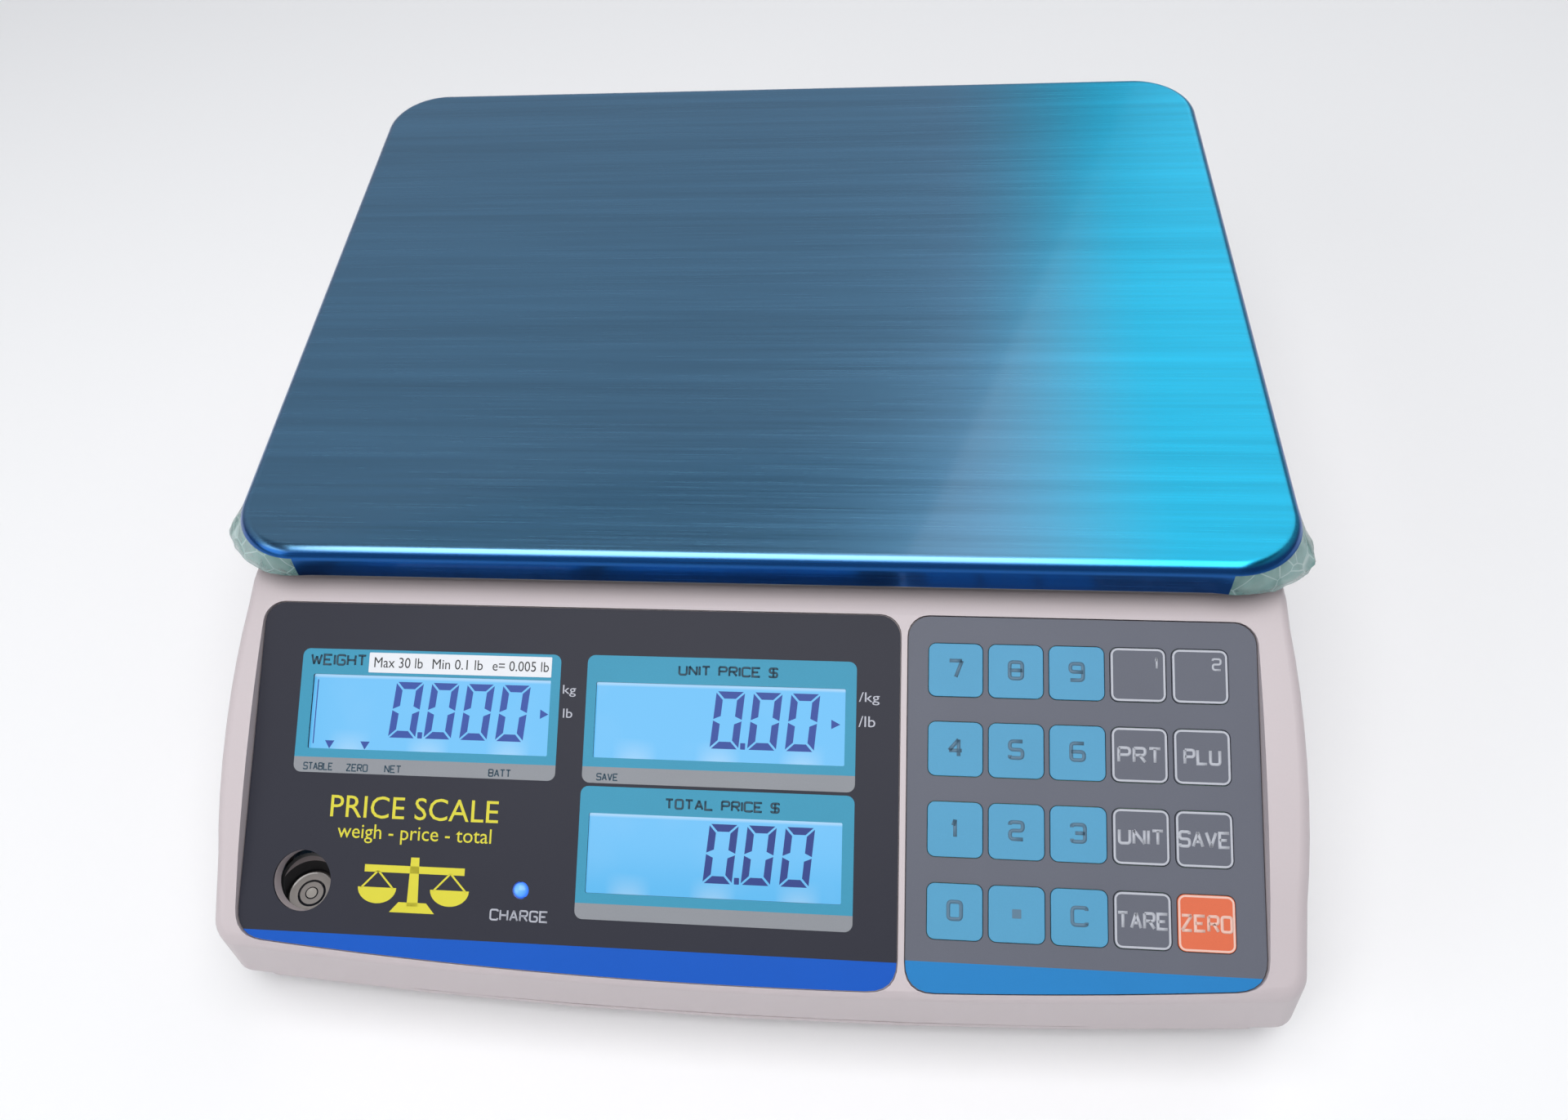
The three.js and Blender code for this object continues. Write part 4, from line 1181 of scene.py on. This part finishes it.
class SCALE_OT_level(bpy.types.Operator):
    """Spirit level in its moulded well, and the charge lamp"""

    bl_idname = "scale.model_level"
    bl_label = "Level and lamp"

    def execute(self, context):
        low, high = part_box("level_vial")
        centre = (low + high) / 2 / MM
        top, foot, radius = high.z / MM, low.z / MM, (high.x - low.x) / 2 / MM
        profile = [(0, foot), (radius - 0.4, foot), (radius, foot + 0.4), (radius, top - 0.7),
                   (radius - 0.7, top), (radius - 1.1, top - 0.25), (4.1, top - 0.32), (3.8, top - 0.30),
                   (3.4, top - 0.30), (1.9, top - 0.26), (1.55, top - 0.16), (1.1, top - 0.26),
                   (0, top - 0.28)]
        vial = turned("bubble_vial", profile, 64)
        smooth(vial, 50)
        dress(vial, moulded_acrylic("moulded_acrylic_vial", linear("#8F8A86")),
              moulded_acrylic("moulded_acrylic_ring_and_bubble_shade", linear("#16171A")),
              moulded_acrylic("moulded_acrylic_bubble_highlight", linear("#A6A19B")))
        # The printed ring, then the bubble: a painted shade for its dark edge and a painted highlight for its
        # paler middle.
        for index, inner, outer in ((1, 3.35, 4.15), (1, 1.45, 1.95), (2, 0.0, 1.45)):
            paint(vial, index, lambda face: face.center.z > top - 1
                  and inner <= math.hypot(face.center.x, face.center.y) < outer)
        deliver(vial, "case", "level_vial", "level_vial", matrix=Matrix.Translation((centre.x, centre.y, 0)))

        low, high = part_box("level_cup")
        outer = (high.x - low.x) / 2 / MM
        foot, rim = low.z / MM, low.z / MM + 16.0
        profile = [(0, foot), (outer - 0.6, foot), (outer, foot + 0.6), (outer, rim - 2.0),
                   (outer - 0.5, rim), (9.1, rim - 0.2), (8.9, top + 2.4), (7.4, top + 0.2),
                   (7.35, top - 1.4), (7.35, foot + 1.4), (0, foot + 1.4)]
        cup = turned("level_well", profile, 64)
        place(cup, Matrix.Translation((centre.x, centre.y, 0)))
        # The well is cut off along the slope, 7 mm under the panel.
        reach = 40
        outline = rounded(LEVEL_X - reach, LEVEL_X + reach, -LEVEL_DOWN - reach, -LEVEL_DOWN + reach, 1, 2)
        trim = plate("trim", outline, -7.0, reach)
        place(trim, PANEL)
        cut(cup, trim)
        smooth(cup, 40)
        # Painted shade: the well is coloured darker than the case, and the faces round the top of the vial
        # are near black as a painted shadow of the gap beside it.
        dress(cup, moulded_abs("moulded_abs_well_painted_shade", linear("#857C7C")),
              moulded_abs("moulded_abs_painted_shadow_ring", linear("#141416")))
        paint(cup, 1, lambda face: top - 2 < face.center.z < top + 1.6 and face.normal.z > -0.5
              and math.hypot(face.center.x - centre.x, face.center.y - centre.y) < 9.2)
        deliver(cup, "case", "level_cup", "level_cup")

        profile = [(0, -9.4), (LED_RADIUS, -9.4), (LED_RADIUS, -0.9), (1.9, -0.45), (1.45, -0.15),
                   (0.8, 0.0), (0, 0.05)]
        lamp = turned("charge_lens", profile, 40)
        smooth(lamp, 50)
        dress(lamp, lamp_lens("moulded_lens_blue", linear("#3F7DF0")))
        deliver(lamp, "case", "charge_lamp", "charge_led",
                matrix=PANEL @ Matrix.Translation((LED_X, -LED_DOWN, 0)))
        return {"FINISHED"}


class SCALE_OT_platter(bpy.types.Operator):
    """Protective film over the steel platter, tight on top and crumpled at the two front corners"""

    bl_idname = "scale.model_platter_film"
    bl_label = "Platter film"

    def execute(self, context):
        low, high = (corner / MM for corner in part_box("platter"))
        sheet_thick = 0.25
        grow = FILM_CLEARANCE + sheet_thick
        corner = sizes().platter_corner / MM + grow
        top = high.z + grow
        rim = low.z + 1.0
        outline = rounded(low.x - grow, high.x + grow, low.y - grow, high.y + grow, corner, 20)
        film = plate("platter_wrap", outline, rim, top)
        edit(film)
        bevel_top(film, top, 3.7, 6)
        pick(film, "FACE", lambda face: face.normal.z < -0.9)
        bpy.ops.mesh.delete(type="FACE")
        score(2, rim + 1.0, rim + 2.2, rim + 3.4, rim + 4.6)
        score(0, -95, 95, -110, 110, -120, 120, -126, 126)
        score(1, -20, -30, -38, -44)
        leave_edit()
        self.crumple(film, low, high, rim, top)
        apply_modifier(film, "SOLIDIFY", thickness=sheet_thick, offset=-1, use_even_offset=True)
        smooth(film, 45)
        # The brighter, clearer blue for the right-hand end is a painted reflection, and the dark navy for the
        # skirt is painted shade.
        tight = brushed_steel(
            "polyethylene_film_on_brushed_steel", colours().wrap, 0.24, 1.0,
            glare_colour=(0.03, 0.60, 0.92, 1), skirt=(0.012, 0.10, 0.34, 1))
        dress(film, tight, loose_film("loose_polyethylene_film", linear("#7AA5A0")))

        def loose(face):
            here = face.center
            edge_x = abs(here.x) - (high.x - 21)
            edge_y = (low.y + 21) - here.y
            return here.z < top - 3.0 and edge_x > 0 and edge_y > 0

        paint(film, 1, loose)
        deliver(film, "platter", "protective_film", "protective_film")
        return {"FINISHED"}

    def crumple(self, film, low, high, rim, top):
        """Pulls the skirt of the film off the two front corners into creased ears."""
        ear = sizes().film_ear / MM
        radius = sizes().platter_corner / MM
        start = top - 2.6
        for point in film.data.vertices:
            x, y, z = point.co
            side = 1 if x > 0 else -1
            centre = Vector((side * (high.x - radius), low.y + radius))
            away = Vector((x, y)) - centre
            if z > start or away.x * side < -14 or away.y > 14:
                continue
            drop = min(1.0, (start - z) / (start - rim - 2.5))
            turn = math.degrees(math.atan2(-away.y, away.x * side))
            # The film runs straight from the side to a pointed ear, and from there along the front.
            tip = 12 if side < 0 else 24
            reach = (turn + 34) / (tip + 34) if turn < tip else (104 - turn) / (104 - tip)
            reach = max(0.0, min(1.0, reach))
            out = (ear + 3.2) * reach ** 1.5 * drop
            out += 0.9 * noise.noise(Vector((x * 0.4, y * 0.4, z * 0.5))) * reach * drop
            direction = away.normalized()
            fold = 0.9 * noise.noise(Vector((turn * 0.07, z * 0.4, side * 3.0))) * reach
            point.co = (x + direction.x * max(0.0, out), y + direction.y * max(0.0, out), z + fold * drop)


class SCALE_OT_feet(bpy.types.Operator):
    """Levelling feet: ribbed rubber pads on threaded studs"""

    bl_idname = "scale.model_feet"
    bl_label = "Feet"

    def execute(self, context):
        rubber = grained(
            "moulded_rubber_black", linear("#1B1B1D"), grain=0.5, depth=0.05, rough=0.75,
            rough_spread=0.08, tone=0.12, cloud=8.0)
        zinc = zinc_plate("zinc_plated_steel")
        pad_profile = [
            (0, 0.6), (9.6, 0.6), (10.0, 0.0), (11.5, 0.0), (13.0, 1.5), (12.8, 2.6), (12.3, 2.9),
            (12.7, 3.3), (12.5, 4.4), (12.0, 4.7), (12.4, 5.1), (12.1, 6.4), (10.3, 8.0), (5.4, 8.0),
            (5.0, 7.4), (0, 7.4)]
        # One thread each millimetre, drawn as rings.
        stud_profile = [(0, 8.3), (2.6, 8.3), (3.0, 8.7)]
        z = 8.9
        while z < 29.0:
            stud_profile += [(3.0, z), (2.55, z + 0.5)]
            z += 1.0
        stud_profile += [(2.9, z), (2.5, 30.0), (0, 30.0)]
        pad = turned("pad", pad_profile, 56)
        stud = turned("stud", stud_profile, 40)
        smooth(pad, 30)
        smooth(stud, 20)
        for corner in ("front_left", "front_right", "rear_left", "rear_right"):
            low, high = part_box("foot_pad_" + corner)
            here = ((low.x + high.x) / 2 / MM, (low.y + high.y) / 2 / MM, 0)
            shoe = copy(pad, "rubber_foot_" + corner, here)
            screw = copy(stud, "threaded_stud_" + corner, here)
            dress(shoe, rubber)
            dress(screw, zinc)
            deliver(shoe, "foot_pad_" + corner, "rubber", "foot_pad_" + corner)
            deliver(screw, "foot_stud_" + corner, "zinc_plate", "foot_stud_" + corner)
        bpy.data.objects.remove(pad)
        bpy.data.objects.remove(stud)
        return {"FINISHED"}


class SCALE_OT_finishes(bpy.types.Operator):
    """Finishes for the nodes of the frame that are shown as they are"""

    bl_idname = "scale.finish_nodes"
    bl_label = "Frame finishes"

    def execute(self, context):
        abs_grey = moulded_abs("moulded_abs_base", colours().case)
        nylon = grained(
            "moulded_nylon_black", linear("#2A2A2D"), grain=0.5, depth=0.03, rough=0.42, rough_spread=0.06,
            tone=0.1, cloud=12.0)
        steel = brushed_steel("brushed_stainless_steel", linear("#B8B6B2"), 0.3)
        cast = grained(
            "cast_aluminium", linear("#A9ADB2"), grain=0.9, depth=0.08, rough=0.42, rough_spread=0.1,
            tone=0.08, cloud=14.0, Metallic=1.0)
        milled = brushed_steel("milled_aluminium", linear("#C3C6CA"), 0.34)
        rubber = grained(
            "moulded_rubber_pad", linear("#1E1E20"), grain=0.5, depth=0.05, rough=0.7, rough_spread=0.08,
            tone=0.12, cloud=6.0)
        zinc = zinc_plate("zinc_plated_fitting")
        board = solder_mask("glass_epoxy_board", linear("#1D5B38"))
        finishes = {
            abs_grey: ["lower_case", "battery_cover"],
            nylon: ["battery", "transformer", "power_inlet", "switch_frame", "switch_rocker"],
            steel: ["platter"],
            cast: ["platter_spider", "load_cell_base"],
            milled: ["load_cell"],
            zinc: ["overload_stop", "serial_port"],
            board: ["keypad_circuit", "display_board", "main_board", "power_board"],
            rubber: [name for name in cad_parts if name.startswith("platter_pad")],
        }
        for material, names in finishes.items():
            for name in names:
                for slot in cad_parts[name].material_slots:
                    slot.material = material
        return {"FINISHED"}


class SCALE_OT_stage(bpy.types.Operator):
    """Pale floor, soft lights and the camera"""

    bl_idname = "scale.build_stage"
    bl_label = "Stage"

    def execute(self, context):
        clear()
        bpy.ops.mesh.primitive_plane_add(size=12, location=(0, 0, 0))
        floor = context.object
        floor.name = "floor"
        hold(floor)
        bpy.ops.object.transform_apply()
        dress(floor, grained(
            "painted_board_white", linear("#FAFAFA"), grain=4.0, depth=0.02, rough=0.85,
            rough_spread=0.03, tone=0.004, cloud=400.0))
        key = Vector((0.0, -0.35, 1.45))
        self.light("key", key, (1.5, 1.1), 19.0, self.towards(key, (0.0, -0.02, 0.05)))
        # A tall light behind and to the right, placed by its left edge, which shows slanting in the steel.
        along = Vector((0.401, 0.684, -0.610)).normalized()
        across = Vector((0.915, -0.340, 0.220)).normalized()
        turn = Matrix((across, along, across.cross(along))).transposed().to_quaternion()
        wide = 1.6
        self.light("window", Vector((0.352, 1.565, 1.468)) + across * wide / 2, (wide, 2.6), 8.5, turn)
        fill = Vector((-1.3, -0.9, 0.8))
        self.light("fill", fill, (1.0, 1.0), 6.0, self.towards(fill, (0.0, -0.05, 0.05)))
        self.sky()
        self.camera()
        context.scene.view_settings.view_transform = "Standard"
        return {"FINISHED"}

    def towards(self, where, target):
        """The turn that points a light from one place to another."""
        return (Vector(target) - where).to_track_quat("-Z", "Y")

    def stand(self, made, where, turn):
        """Puts a light or the camera in its place."""
        made.location = where
        made.rotation_mode = "QUATERNION"
        made.rotation_quaternion = turn
        bpy.context.scene.collection.objects.link(made)

    def light(self, name, where, size, power, turn):
        """A soft rectangular light."""
        lamp = bpy.data.lights.new(name, "AREA")
        lamp.shape = "RECTANGLE"
        lamp.size, lamp.size_y = size
        lamp.energy = power
        self.stand(bpy.data.objects.new(name, lamp), where, turn)

    def sky(self):
        """Even light from all round, dimmer high up behind the scale, as in a room with white walls."""
        world = bpy.data.worlds.new("room")
        bpy.context.scene.world = world
        world.use_nodes = True
        tree = world.node_tree
        back = tree.nodes["Background"]
        where = add_node(tree, "TexCoord")
        axes = add_node(tree, "SeparateXYZ", None, {"Vector": where.outputs["Generated"]})
        height = add_node(
            tree, "MapRange", {"From Min": 0.715, "From Max": 0.75, "To Min": 0.0, "To Max": 1.0},
            {"Value": axes.outputs["Z"]}, interpolation_type="SMOOTHSTEP")
        tone = add_node(
            tree, "Mix", {6: linear("#8C8F96"), 7: linear("#3A3E4A")}, {0: height}, data_type="RGBA")
        link_inputs(tree, back, {"Color": tone.outputs[2]})
        back.inputs["Strength"].default_value = 1.0

    def camera(self):
        """Camera in front of the scale and above it, looking down to the left, slightly rolled."""
        data = bpy.data.cameras.new("camera")
        data.sensor_width = 36.0
        data.lens = 29.0
        data.shift_x = 0.054
        data.shift_y = 0.016
        turn, dip, roll = math.radians(10.51), math.radians(52.69), math.radians(-7.24)
        upwards, rightwards = Vector((0, 0, 1)), Vector((1, 0, 0))
        made = bpy.data.objects.new("camera", data)
        self.stand(
            made, (0.0264, -0.2804, 0.3801),
            Quaternion(upwards, turn) @ Quaternion(rightwards, math.pi / 2 - dip) @ Quaternion(upwards, roll))
        bpy.context.scene.camera = made


class SCALE_PT_pieces(bpy.types.Panel):
    """Lists the steps that build the scale"""

    bl_idname = "SCALE_PT_pieces"
    bl_label = "Counter scale"
    bl_space_type = "VIEW_3D"
    bl_region_type = "UI"
    bl_category = "Scale"

    def draw(self, context):
        for step in STEPS:
            self.layout.operator(step.bl_idname)


STEPS = [
    SCALE_OT_stage,
    SCALE_OT_case,
    SCALE_OT_films,
    SCALE_OT_legends,
    SCALE_OT_keys,
    SCALE_OT_displays,
    SCALE_OT_level,
    SCALE_OT_platter,
    SCALE_OT_feet,
    SCALE_OT_finishes,
]
CLASSES = [ScaleSizes, ScaleColours, *STEPS, SCALE_PT_pieces]


def register():
    """Adds the operators, the panel and the settings to Blender."""
    for part in CLASSES:
        bpy.utils.register_class(part)
    bpy.types.Scene.counter_scale_sizes = PointerProperty(type=ScaleSizes)
    bpy.types.Scene.counter_scale_colours = PointerProperty(type=ScaleColours)


def unregister():
    """Takes them out again."""
    del bpy.types.Scene.counter_scale_sizes
    del bpy.types.Scene.counter_scale_colours
    for part in reversed(CLASSES):
        bpy.utils.unregister_class(part)


def main():
    """Builds the scale in steps."""
    register()
    for step in STEPS:
        group, name = step.bl_idname.split(".")
        getattr(getattr(bpy.ops, group), name)()
    clear()


if __name__ == "__main__":
    main()
